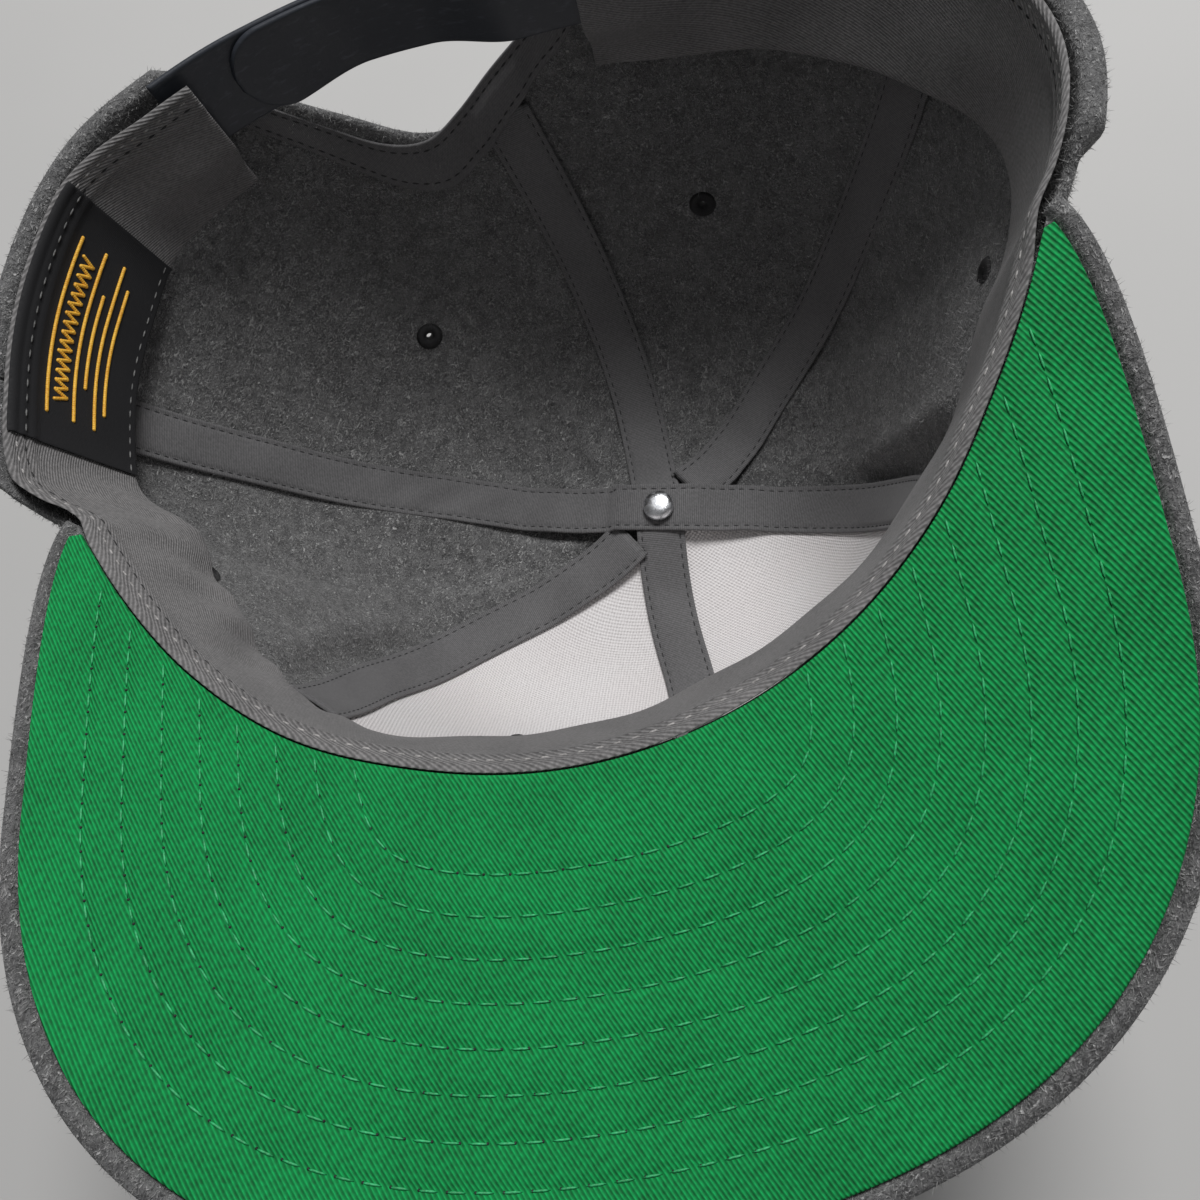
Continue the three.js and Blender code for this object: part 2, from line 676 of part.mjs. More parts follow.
// Domed rivet on the crossing tape, and the cloth button under the crown.
function rivetGeometry() {
  const top = crossTapePath();
  const seat = top[Math.floor(top.length / 2)].point.z + tapeThickness + clothGap;
  const profile = [[0, 0], [0.9, 0], [1, 0.25], [0.88, 0.62], [0.6, 0.88], [0.3, 0.98], [0, 1]];
  const points = profile.map(([r, h]) => new THREE.Vector2(r * rivetRadius, h * rivetHeight));
  return stood(new THREE.LatheGeometry(points, 20), new THREE.Vector3(0, 0, 1),
    new THREE.Vector3(buttonX, buttonY, seat));
}

function buttonGeometry() {
  const profile = [[0, 0], [0.8, 0], [0.95, 0.22], [1, 0.55], [0.93, 0.85], [0.8, 1], [0, 1]];
  const points = profile.map(([r, h]) => new THREE.Vector2(r * buttonRadius, h * buttonHeight));
  return stood(new THREE.LatheGeometry(points, 20), new THREE.Vector3(0, 0, 1),
    new THREE.Vector3(buttonX, buttonY, 0));
}

// An embroidered eyelet: a spool through the cloth with a flange on each face.
function eyeletPlace(panel) {
  const { across, way } = panel.eyelet;
  const azimuth = panelAzimuth(panel, across, way);
  return { point: panelPoint(panel, across, way, 0), normal: crownNormal(azimuth, way) };
}

function eyeletGeometry(panel) {
  const inside = (panel.lined ? clothGap + buckramThickness : 0) + 2.3 * clothGap;
  const outside = -woolThickness - 2 * clothGap;
  const flange = 0.7;
  const barrel = eyeletHole + eyeletWall;
  const profile = [
    [eyeletHole, outside - flange], [eyeletRadius, outside - flange], [eyeletRadius, outside], [barrel, outside],
    [barrel, inside], [eyeletRadius, inside], [eyeletRadius, inside + flange], [eyeletHole, inside + flange],
    [eyeletHole, outside - flange],
  ];
  const { point, normal } = eyeletPlace(panel);
  const lathe = new THREE.LatheGeometry(profile.map(([r, h]) => new THREE.Vector2(r, h)), 9);
  return fromSolid(toSolid(stood(lathe, normal, point)));
}

function cutForEyelet(geometry, panel) {
  const { point, normal } = eyeletPlace(panel);
  const radius = eyeletHole + eyeletWall + clothGap;
  const cutter = stood(new THREE.CylinderGeometry(radius, radius, 14, 12), normal, point);
  return fromSolid(toSolid(geometry).subtract(toSolid(cutter)));
}

// Finishes
const finish = (color, roughness, metalness = 0) => new THREE.MeshStandardMaterial({ color, roughness, metalness });
const wool = finish(0x6f6e6e, 0.95);
const buckram = finish(0xcfcaca, 0.9);
const tape = finish(0x4a4747, 0.85);
const band = finish(0x4f4c4c, 0.85);
const labelCloth = finish(0x0f0f11, 0.7);
const green = finish(0x12803a, 0.8);
const plastic = finish(0x2b2e36, 0.45);
const silver = finish(0xc9ccd0, 0.25, 1);
const thread = finish(0x35353a, 0.8);

const cap = new THREE.Group();
function add(name, geometry, material) {
  const mesh = new THREE.Mesh(geometry, material);
  mesh.name = name;
  cap.add(mesh);
}

for (const panel of PANELS) {
  add(panel.name, cutForEyelet(panelGeometry(panel), panel), wool);
  if (panel.lined) {
    add(panel.name.replace("panel_front", "buckram"), cutForEyelet(buckramGeometry(panel), panel), buckram);
  }
  add(panel.name.replace("panel", "eyelet"), eyeletGeometry(panel), thread);
}
for (const { name, seam, start, lined, steps } of TAPES) {
  add(name, ribbon(tapePath(seam, start, tapeEnd, lined, steps, 20), tapeWidth, tapeThickness), tape);
}
add("tape_cross", ribbon(crossTapePath(), tapeWidth, tapeThickness), tape);
add("sweatband", sweatbandGeometry(), band);
add("label", labelGeometry(), labelCloth);
add("brim", brimGeometry(), wool);
add("under_brim", underBrimGeometry(), green);
add("arch_binding", bindingGeometry(), tape);
add("strap_holes", strapHolesGeometry(), plastic);
add("strap_pegs", strapPegsGeometry(), plastic);
add("rivet", rivetGeometry(), silver);
add("top_button", buttonGeometry(), wool);

// The origin is under the middle of the whole cap, on the floor.
const bounds = new THREE.Box3().setFromObject(cap);
const middle = bounds.getCenter(new THREE.Vector3());
cap.position.set(-middle.x, -middle.y, -bounds.min.z);

export default cap;
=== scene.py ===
"""Looks of the snapback cap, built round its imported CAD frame.

Lengths are millimetres, as in the part's own source, until place() turns points into metres.
The cap lies on its crown, open side up, with its brim toward -Y.
"""

import bmesh
import bpy
import numpy as np
from mathutils import Matrix, Vector


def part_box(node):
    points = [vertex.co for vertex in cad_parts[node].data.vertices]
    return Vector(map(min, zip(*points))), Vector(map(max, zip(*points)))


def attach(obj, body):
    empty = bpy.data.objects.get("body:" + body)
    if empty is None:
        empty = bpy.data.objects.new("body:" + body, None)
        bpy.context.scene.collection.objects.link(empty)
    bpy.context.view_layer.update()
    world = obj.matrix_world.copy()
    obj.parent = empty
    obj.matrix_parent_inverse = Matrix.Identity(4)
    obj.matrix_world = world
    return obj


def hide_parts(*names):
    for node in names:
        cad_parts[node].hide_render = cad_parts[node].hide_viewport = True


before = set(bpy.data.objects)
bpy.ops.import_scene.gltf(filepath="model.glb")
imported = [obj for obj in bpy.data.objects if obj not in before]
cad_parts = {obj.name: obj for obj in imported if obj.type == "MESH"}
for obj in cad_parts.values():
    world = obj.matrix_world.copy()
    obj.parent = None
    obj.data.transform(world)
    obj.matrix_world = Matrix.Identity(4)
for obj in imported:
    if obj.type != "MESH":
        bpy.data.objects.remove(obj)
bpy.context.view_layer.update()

# Driving dimensions, as in the part's source
crown_depth = 112
rim_reach = 100
rim_centre_y = -19.5
button_x = 13.2
button_y = -21.8
wool_thickness = 2
hem_thickness = 4.4
hem_depth = 9
buckram_thickness = 1
liner_drop = 6
tape_thickness = 0.8
tape_width = 12.5
sweatband_width = 31
sweatband_thickness = 0.9
label_length = 55
label_thickness = 0.5
brim_half_width = 91.7
brim_reach = 70
brim_thickness = 3.6
brim_edge = 2.5
under_brim_thickness = 0.9
brim_bend = 10.7
brim_twist = 13.4
strap_width = 19
strap_thickness = 1.1
strap_hole_pitch = 9
strap_hole_radius = 1.9
peg_radius = 1.4
peg_count = 7
binding_width = 10
rivet_radius = 4
button_radius = 6.6
button_height = 3.8
sag_depth = 5
cloth_gap = 0.35

# Sizes that only the looks have
eyelet_radius = 3.5
eyelet_hole = 0.9
seam_tuck = 0.15
seam_stitch_inset = 1.4
seam_stitch_pitch = 2.6
outer_stitch_offset = 3.2
outer_stitch_pitch = 3
band_stitch_pitch = 3
brim_stitch_pitch = 4
seam_float = 1.7
outer_float = 2.2
brim_float = 3.1
thread_width = 0.42
band_thread_width = 0.5
# Size of the dark dots of painted shade in the brim's needle holes
needle_hole_shade_size = 0.5
brim_stitch_rows = 8
brim_stitch_first = 10.5
brim_stitch_spacing = 6.3
green_rib_pitch = 0.664
band_rib_pitch = 0.55
tape_rib_pitch = 0.48
buckram_pitch = 1.25
nap_length = 1.5
nap_width = 0.11
nap_density = 1.25
nap_lean = 2
band_flare = 1.4
binding_rise = 1.3

brim_azimuth = {"left": -168, "right": -12}
arch_azimuth = {"left": 129, "right": 70}

# The rivet's box tells how far the part's source moved the whole cap
rivet_low, rivet_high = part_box("rivet")
SHIFT = np.array([
    500 * (rivet_low.x + rivet_high.x) - button_x,
    500 * (rivet_low.y + rivet_high.y) - button_y,
    0,
])


def table(names, *rows):
    return dict(zip(names, np.array(rows, float).T))


# The rim in plan, and the smoother outline lower down: shares of rim_reach
RIM = table(
    ("azimuth", "reach", "deep"),
    (-168, 0.878, 0.91), (-155, 0.844, 0.86), (-140, 0.83, 0.835), (-125, 0.826, 0.826),
    (-110, 0.814, 0.816), (-90, 0.815, 0.815), (-75, 0.818, 0.818), (-57, 0.826, 0.826),
    (-41, 0.834, 0.836), (-30, 0.841, 0.855), (-19, 0.864, 0.885), (-12, 0.886, 0.91),
    (-7.4, 0.92, 0.93), (-2, 0.954, 0.952), (4, 0.984, 0.975), (10.5, 1.006, 0.996),
    (20, 1.03, 1.015), (32, 1.045, 1.025), (44, 1.01, 1), (57, 0.925, 0.93),
    (70, 0.86, 0.87), (88, 0.828, 0.835), (104, 0.863, 0.863), (118, 0.923, 0.915),
    (130, 0.97, 0.965), (142, 1.018, 1.005), (158, 1.02, 1.01), (172, 1.01, 1),
    (183, 1, 0.975), (187, 0.95, 0.957), (189.5, 0.905, 0.935),
)

# The crown's wall from rim to button, in ten equal steps: how far out and how deep
FRONT_WALL = table(
    ("reach", "depth"),
    (1, 0), (0.985, 0.15), (0.962, 0.3), (0.925, 0.45), (0.88, 0.6), (0.82, 0.76),
    (0.73, 0.89), (0.6, 0.97), (0.44, 1), (0.22, 0.995), (0, 0.94),
)
BACK_WALL = table(
    ("reach", "depth"),
    (1, 0), (0.99, 0.13), (0.965, 0.28), (0.91, 0.45), (0.835, 0.62), (0.74, 0.78),
    (0.62, 0.9), (0.48, 0.97), (0.34, 1), (0.2, 0.995), (0, 0.94),
)
for wall in (FRONT_WALL, BACK_WALL):
    wall["way"] = np.linspace(0, 1, len(wall["reach"]))

# Azimuth of each seam at five even stations from the rim to the button
SEAM = {
    "left_front": (-133, -138.3, -147.5, -151, -139),
    "front_centre": (-79, -80, -81, -83.3, -93),
    "right_front": (-38, -32, -20, -12, -9),
    "right_rear": (29, 29.2, 31.2, 31.3, 21),
    "back_centre": (94, 90, 85, 82, 82.5),
    "left_rear": (171, 168, 163.5, 160.5, 165.5),
}
SEAM = {name: table(("way", "azimuth"), *zip(np.linspace(0, 1, 5), v)) for name, v in SEAM.items()}

# The arch in the back panels: depth as a share of the way from rim to button
ARCH = table(
    ("azimuth", "depth"),
    (70, 0), (76, 0.092), (82, 0.138), (89, 0.183), (97, 0.232), (104, 0.257),
    (111, 0.238), (117, 0.18), (123, 0.1), (129, 0),
)

# How far the sweatband's free edge leans into the cap, as a share of its width
LEAN = table(
    ("azimuth", "lean"),
    (120, 0.14), (134, 0.15), (146, 0.2), (161, 0.27), (172, 0.28), (177, 0.31), (180, 0.355),
    (184, 0.48), (188, 0.42), (192, 0.25), (200, 0.23), (208, 0.185), (214, 0.14), (228, 0.14),
    (236, 0.175), (244, 0.22), (256, 0.285), (268, 0.335), (284, 0.37), (292, 0.36), (304, 0.305),
    (316, 0.245), (328, 0.185), (336, 0.14), (352, 0.13), (364, 0.12), (376, 0.2), (390, 0.38),
    (405, 0.34), (430, 0.14),
)

PANELS = [
    {"name": "front_left", "from": "left_front", "to": "front_centre",
     "eyelet": (0.45, 0.5), "lined": True},
    {"name": "front_right", "from": "front_centre", "to": "right_front",
     "eyelet": (0.5, 0.5), "lined": True},
    {"name": "side_right", "from": "right_front", "to": "right_rear",
     "eyelet": (0.5, 0.25), "soft": "from"},
    {"name": "back_right", "from": "right_rear", "to": "back_centre", "eyelet": (0.5, 0.43)},
    {"name": "back_left", "from": "back_centre", "to": "left_rear", "eyelet": (0.52, 0.51)},
    {"name": "side_left", "from": "left_rear", "to": "left_front",
     "eyelet": (0.45, 0.25), "soft": "to"},
]
panel_end = 0.975


def smoothstep(low, high, x):
    t = np.clip((x - low) / (high - low), 0, 1)
    return t * t * (3 - 2 * t)


def mix(a, b, share):
    return a + (b - a) * share


def dip(x, middle, width):
    return np.exp(-(((x - middle) / width) ** 2))


def along(rows, key, column, place):
    """Smooth value of one column of a table at places along another column."""
    x, y = rows[key], rows[column]
    k = np.arange(len(x))
    before, after = np.maximum(k - 1, 0), np.minimum(k + 1, len(x) - 1)
    slope = (y[after] - y[before]) / (x[after] - x[before])
    i = np.clip(np.searchsorted(x, place) - 1, 0, len(x) - 2)
    span = x[i + 1] - x[i]
    t = np.clip((place - x[i]) / span, 0, 1)
    h = 2 * t**3 - 3 * t**2 + 1
    bend = (t**3 - 2 * t**2 + t) * slope[i] + (t**3 - t**2) * slope[i + 1]
    return h * y[i] + (1 - h) * y[i + 1] + bend * span


first_azimuth = RIM["azimuth"][0]


def wrap(azimuth):
    return np.mod(azimuth - first_azimuth, 360) + first_azimuth


# The rim table closed on itself, with a row beyond each end
RIM_RING = {name: np.concatenate([v[-1:], v, v[:2]]) for name, v in RIM.items()}
RIM_RING["azimuth"] = RIM_RING["azimuth"] + np.array([-360] + [0] * len(RIM["azimuth"]) + [360, 360])


def lift(x, y):
    """Height of the rim and brim above the level rim plane."""
    side = x / brim_half_width
    mid = y / brim_half_width
    behind = smoothstep(-0.4, 0.68, mid)
    twist = np.where(mid < -0.4, (mid + 1) / 0.735, 0.816 * (1 - behind))
    return brim_bend * side**2 * (1 - 0.7 * behind) + brim_twist * side * twist


def crown_point(azimuth, way):
    """Point of the crown's inner face: way runs from 0 at the rim to 1 at the button."""
    azimuth, way = np.broadcast_arrays(np.asarray(azimuth, float), np.asarray(way, float))
    turn = np.radians(azimuth)
    a = wrap(azimuth)
    deep = smoothstep(0, 0.22, way)
    reach = rim_reach * mix(
        along(RIM_RING, "azimuth", "reach", a), along(RIM_RING, "azimuth", "deep", a), deep)
    rim_x = reach * np.cos(turn)
    rim_y = rim_centre_y + reach * np.sin(turn)
    front = smoothstep(-0.35, 0.75, -np.sin(turn))
    out = mix(along(BACK_WALL, "way", "reach", way), along(FRONT_WALL, "way", "reach", way), front)
    down = mix(along(BACK_WALL, "way", "depth", way), along(FRONT_WALL, "way", "depth", way), front)
    rim_z = crown_depth + lift(rim_x, rim_y)
    return np.stack([
        mix(button_x, rim_x, out),
        mix(button_y, rim_y, out),
        mix(rim_z, wool_thickness, np.minimum(down, 1)),
    ], -1)


def crown_normal(azimuth, way):
    """Unit normal of the crown there, pointing into the cap."""
    across = crown_point(azimuth + 0.5, way) - crown_point(azimuth - 0.5, way)
    above = crown_point(azimuth, np.maximum(way - 0.004, 0))
    downward = crown_point(azimuth, np.minimum(way + 0.004, 1)) - above
    normal = np.cross(across, downward)
    return normal / np.linalg.norm(normal, axis=-1, keepdims=True)


def crown_at(azimuth, way, inward):
    """Crown point moved into the cap by some millimetres, never below the floor."""
    point = crown_point(azimuth, way) + crown_normal(azimuth, way) * np.asarray(inward, float)[..., None]
    point[..., 2] = np.maximum(point[..., 2], 0)
    return point


def way_at_depth(azimuth, depth):
    """Way along the wall at which it is so many millimetres below the rim."""
    azimuth = np.asarray(azimuth, float)
    top = crown_point(azimuth, 0)[..., 2]
    low = np.zeros_like(azimuth)
    high = np.full_like(azimuth, 0.5)
    for _ in range(16):
        middle = (low + high) / 2
        above = top - crown_point(azimuth, middle)[..., 2] < depth
        low = np.where(above, middle, low)
        high = np.where(above, high, middle)
    return low


def seam_azimuth(seam, way):
    return along(SEAM[seam], "way", "azimuth", way)


def panel_azimuth(panel, share, way):
    start = seam_azimuth(panel["from"], way)
    return start + np.mod(seam_azimuth(panel["to"], way) - start, 360) * share


def panel_start(azimuth):
    """Where a panel starts: at the rim, under the brim's edge, or at the arch."""
    a = wrap(azimuth)
    at_arch = (a > arch_azimuth["right"]) & (a < arch_azimuth["left"])
    arch = np.where(at_arch, along(ARCH, "azimuth", "depth", a), 0)
    left_end = brim_azimuth["left"] + 360
    right_end = brim_azimuth["right"]
    under = np.where(
        a > 180,
        smoothstep(left_end - 9, left_end - 5, a),
        1 - smoothstep(right_end + 4, right_end + 8, a))
    return np.maximum(arch, way_at_depth(azimuth, under * (brim_thickness + 2 * cloth_gap)))


def sag(panel, share, way):
    """The soft side panels sag into the cap beside the stiff front ones."""
    if "soft" not in panel:
        return np.zeros_like(share)
    away = share if panel["soft"] == "from" else 1 - share
    height = smoothstep(0.16, 0.3, way) * (1 - smoothstep(0.5, 0.68, way))
    return sag_depth * height * smoothstep(0.13, 0.26, away) * (1 - smoothstep(0.35, 0.85, away))


def ripples(panel, azimuth, way):
    """Slow waves in the cloth, stronger where nothing stiffens it."""
    size = 0.12 if panel.get("lined") else 0.55
    quiet = smoothstep(0.03, 0.2, way) * (1 - smoothstep(0.86, 0.97, way))
    turn = np.radians(azimuth)
    waves = np.sin(turn * 9 + 11 * way) + 0.7 * np.sin(turn * 17 - 19 * way + 1.3)
    return size * quiet * waves


# Meshes
def place(points):
    """Millimetres in the part's own frame to metres in the shared one."""
    return (np.asarray(points, float) + SHIFT) * 0.001


def linked(name, data):
    """New object that holds the data, linked to the scene."""
    thing = bpy.data.objects.new(name, data)
    bpy.context.scene.collection.objects.link(thing)
    return thing


def mesh_object(name, points, faces, material, uv=None):
    mesh = bpy.data.meshes.new(name)
    mesh.from_pydata(place(points).tolist(), [], np.asarray(faces).tolist())
    if uv is not None:
        corner = np.empty(len(mesh.loops), int)
        mesh.loops.foreach_get("vertex_index", corner)
        layer = mesh.uv_layers.new(name="cloth")
        layer.data.foreach_set("uv", (np.asarray(uv, float)[corner] * 0.001).ravel())
    mesh.polygons.foreach_set("use_smooth", np.ones(len(mesh.polygons), bool))
    mesh.materials.append(material)
    mesh.validate()
    return linked(name, mesh)


def quads(ids):
    return np.stack([ids[:-1, :-1], ids[:-1, 1:], ids[1:, 1:], ids[1:, :-1]], -1).reshape(-1, 4)


def outward(points, faces):
    """The same faces, turned if they enclose a negative volume."""
    a, b, c, d = (points[faces[:, i]] for i in range(4))
    volume = (a * np.cross(b, c)).sum() + (a * np.cross(c, d)).sum()
    return faces[:, ::-1] if volume < 0 else faces


def shell(name, near, far, uv, material):
    """Closed body between two grids of points that share their borders."""
    rows, columns = near.shape[:2]
    ids = np.arange(rows * columns).reshape(rows, columns)
    inside = np.zeros((rows, columns), bool)
    inside[1:-1, 1:-1] = True
    back = ids.copy()
    back[inside] = rows * columns + np.arange(inside.sum())
    points = np.concatenate([near.reshape(-1, 3), far[inside]])
    coords = np.concatenate([uv.reshape(-1, 2), uv[inside]])
    faces = outward(points, np.concatenate([quads(ids), quads(back)[:, ::-1]]))
    return mesh_object(name, points, faces, material, coords)


QUARTER = np.radians([0, 30, 60, 90])


def stations(length, start, end, count):
    """Distances across a cloth with rounded borders, and how full the cloth is at each."""
    length = np.asarray(length, float)[..., None]
    same = np.ones_like(length)
    middle = start + (length - start - end) * np.linspace(0, 1, count)[1:-1]
    places = np.concatenate([
        start * (1 - np.cos(QUARTER)) * same,
        middle,
        length - end * (1 - np.cos(QUARTER))[::-1],
    ], -1)
    full = np.concatenate([np.sin(QUARTER), np.ones(count - 2), np.sin(QUARTER)[::-1]])
    return places, full


def path_length(points):
    return np.linalg.norm(np.diff(points, axis=0), axis=-1).sum()


def evaluated(thing, name):
    """Plain copy of an object with its modifiers applied; the object itself is removed."""
    bpy.context.view_layer.update()
    graph = bpy.context.evaluated_depsgraph_get()
    mesh = bpy.data.meshes.new_from_object(thing.evaluated_get(graph))
    bpy.data.objects.remove(thing)
    mesh.name = name
    return linked(name, mesh)


def cut(thing, cutter):
    """The thing with the cutter's shape taken out of it."""
    name = thing.name
    modifier = thing.modifiers.new("cut", "BOOLEAN")
    modifier.operation = "DIFFERENCE"
    modifier.solver = "EXACT"
    modifier.object = cutter
    made = evaluated(thing, name + "_cut")
    bpy.data.objects.remove(cutter)
    made.name = name
    return made


def welded(thing):
    """Points that lie on one another at a turned body's poles become one."""
    build = bmesh.new()
    build.from_mesh(thing.data)
    bmesh.ops.remove_doubles(build, verts=build.verts, dist=1e-7)
    build.to_mesh(thing.data)
    build.free()
    return thing


def lathe(name, profile, centre, axis, material, count, swell=None):
    """Turned body: the profile's radii and heights round an axis.

    A profile that starts on the axis ends there too; any other closes on itself as a ring.
    Swell scales the heights by angle.
    """
    axis = np.asarray(axis, float) / np.linalg.norm(axis)
    side = np.cross(axis, (0.31, 0.95, 0.05))
    side /= np.linalg.norm(side)
    other = np.cross(axis, side)
    radius, height = np.array(profile, float).T
    angle = np.linspace(0, 2 * np.pi, count, endpoint=False)
    grown = np.ones(count) if swell is None else swell(angle)
    ring = side * np.cos(angle)[:, None] + other * np.sin(angle)[:, None]
    rise = (height[None, :] * grown[:, None])[..., None]
    points = centre + ring[:, None] * radius[None, :, None] + axis * rise
    ids = np.arange(count * len(radius)).reshape(count, -1)
    ids = np.concatenate([ids, ids[:1]])
    if radius[0] > 0:
        ids = np.concatenate([ids, ids[:, :1]], 1)
    points = points.reshape(-1, 3)
    girth = np.repeat(angle, len(radius)) * radius.max()
    uv = np.stack([girth, np.tile(np.arange(len(radius)), count)], -1)
    return welded(mesh_object(name, points, outward(points, quads(ids)), material, uv))


class NodeLayer:
    """Short way to lay the nodes of a tree: sockets are joined, other values are set."""

    def add(self, kind, inputs=None, **settings):
        node = self.tree.nodes.new(kind)
        for name, value in settings.items():
            setattr(node, name, value)
        for socket, value in (inputs or {}).items():
            if isinstance(value, bpy.types.NodeSocket):
                self.tree.links.new(value, node.inputs[socket])
            else:
                node.inputs[socket].default_value = value
        return node


# Materials
class Finish(NodeLayer):
    """A material, with short ways to lay its nodes."""

    def __init__(self, name, **sockets):
        self.material = bpy.data.materials.new(name)
        self.material.use_nodes = True
        self.tree = self.material.node_tree
        self.surface = self.tree.nodes["Principled BSDF"]
        for socket, value in sockets.items():
            title = socket.replace("_", " ").title().replace("Ior", "IOR")
            self.surface.inputs[title].default_value = value

    def math(self, operation, a, b=0.0, c=0.0):
        return self.add("ShaderNodeMath", {0: a, 1: b, 2: c}, operation=operation).outputs[0]

    def ramp(self, value, low, high, to_low=0.0, to_high=1.0):
        sockets = {
            "Value": value, "From Min": low, "From Max": high, "To Min": to_low, "To Max": to_high}
        return self.add("ShaderNodeMapRange", sockets, interpolation_type="SMOOTHSTEP").outputs[0]

    def blend(self, share, a, b):
        """Colour between two colours; both are sockets or red, green and blue."""
        node = self.add("ShaderNodeMix", {0: share}, data_type="RGBA")
        for index, value in ((6, a), (7, b)):
            if isinstance(value, bpy.types.NodeSocket):
                self.tree.links.new(value, node.inputs[index])
            else:
                node.inputs[index].default_value = (*value, 1)
        return node.outputs[2]

    def cloth(self, angle=0.0):
        """The piece's own cloth coordinates in metres, turned by some degrees."""
        uv = self.add("ShaderNodeUVMap", uv_map="cloth").outputs[0]
        if not angle:
            return uv
        sockets = {"Vector": uv, "Angle": np.radians(angle)}
        return self.add("ShaderNodeVectorRotate", sockets, rotation_type="Z_AXIS").outputs[0]

    def space(self, angle=0.0):
        """The place in metres, turned by some degrees round a slanting axis."""
        here = self.add("ShaderNodeTexCoord").outputs["Object"]
        sockets = {"Vector": here, "Axis": (0.5, 0.6, 0.62), "Angle": np.radians(angle)}
        return self.add("ShaderNodeVectorRotate", sockets, rotation_type="AXIS_ANGLE").outputs[0]

    def noise(self, coords, size, detail=2.0, stretch=(1, 1, 1), distortion=0.0):
        """Noise whose lumps are about size millimetres across."""
        scale = [1000 / size * s for s in stretch]
        scaled = self.add("ShaderNodeMapping", {"Vector": coords, "Scale": scale})
        sockets = {"Vector": scaled.outputs[0], "Scale": 1.0, "Detail": detail, "Distortion": distortion}
        return self.add("ShaderNodeTexNoise", sockets).outputs[0]

    def wave(self, coords, axis, pitch, shift=0.0):
        """Sine from 0 to 1 along one axis of the coordinates, with its pitch in millimetres."""
        split = self.add("ShaderNodeSeparateXYZ", {0: coords}).outputs[axis]
        turns = self.math("MULTIPLY_ADD", split, 2000 * np.pi / pitch, shift)
        return self.math("MULTIPLY_ADD", self.math("SINE", turns), 0.5, 0.5)

    def colour(self, value):
        self.tree.links.new(value, self.surface.inputs["Base Color"])

    def rough(self, value):
        self.tree.links.new(value, self.surface.inputs["Roughness"])

    def relief(self, height, depth, strength=1.0):
        """Bump from a height of 0 to 1 that stands for some millimetres."""
        sockets = {"Strength": strength, "Distance": depth * 0.001, "Height": height}
        bump = self.add("ShaderNodeBump", sockets)
        self.tree.links.new(bump.outputs[0], self.surface.inputs["Normal"])


def twill(name, pitch, angle, dark, light, relief, cross=0.7, wobble=0.35, **sockets):
    """Ribbed cloth: raised ribs of short yarn floats, with slow shade changes."""
    finish = Finish(name, **sockets)
    coords = finish.cloth(angle)
    split = finish.add("ShaderNodeSeparateXYZ", {0: coords})
    bend = finish.math("MULTIPLY", finish.noise(coords, 7), wobble * 2 * np.pi)
    turns = finish.math("MULTIPLY_ADD", split.outputs[0], 2000 * np.pi / pitch, bend)
    rib = finish.math("MULTIPLY_ADD", finish.math("SINE", turns), 0.5, 0.5)
    row = finish.math("FLOOR", finish.math("MULTIPLY", split.outputs[0], 1000 / pitch))
    stagger = finish.math("MULTIPLY", row, 2.4)
    step = finish.math("MULTIPLY_ADD", split.outputs[1], 2000 * np.pi / (pitch * 1.9), stagger)
    yarn = finish.math("MULTIPLY_ADD", finish.math("SINE", step), 0.5, 0.5)
    body = finish.math("MULTIPLY", rib, finish.ramp(yarn, 0, 1, 1 - cross * 0.5, 1))
    grain = finish.noise(coords, pitch * 1.6, 3)
    slow = finish.noise(coords, 16, 3)
    ribs = finish.math("MULTIPLY", body, 0.62)
    shade = finish.math("MULTIPLY_ADD", finish.ramp(grain, 0.3, 0.7), 0.3, ribs)
    shade = finish.math("MULTIPLY_ADD", finish.ramp(slow, 0.3, 0.7), 0.14, shade)
    finish.colour(finish.blend(shade, dark, light))
    finish.rough(finish.ramp(grain, 0.2, 0.8, 0.72, 0.95))
    finish.relief(finish.math("MULTIPLY_ADD", grain, 0.25, body), relief)
    return finish.material


def heather(name, dark, middle, light, **sockets):
    """Wool felted from light and dark fibres: short curls every way over a mottled ground."""
    finish = Finish(name, **sockets)
    coords = finish.space()
    curls = [finish.noise(finish.space(angle), 0.85, 3, (1, 0.38, 0.7), 2.4) for angle in (24, 85, 150)]
    bright = finish.math("MAXIMUM", finish.ramp(curls[0], 0.52, 0.7), finish.ramp(curls[1], 0.54, 0.72))
    deep = finish.math("MAXIMUM", finish.ramp(curls[2], 0.48, 0.34), finish.ramp(curls[0], 0.44, 0.3))
    mottle = finish.ramp(finish.noise(coords, 3.2, 4), 0.36, 0.64)
    ground = finish.blend(mottle, [mix(d, m, 0.5) for d, m in zip(dark, middle)], middle)
    flecked = finish.blend(finish.math("MULTIPLY", bright, 0.8), ground, light)
    finish.colour(finish.blend(finish.math("MULTIPLY", deep, 0.85), flecked, dark))
    fuzz = finish.math("ADD", finish.math("MULTIPLY", bright, 0.8), finish.noise(coords, 0.7, 4))
    finish.relief(finish.math("MULTIPLY_ADD", mottle, 0.4, fuzz), 0.6)
    return finish.material


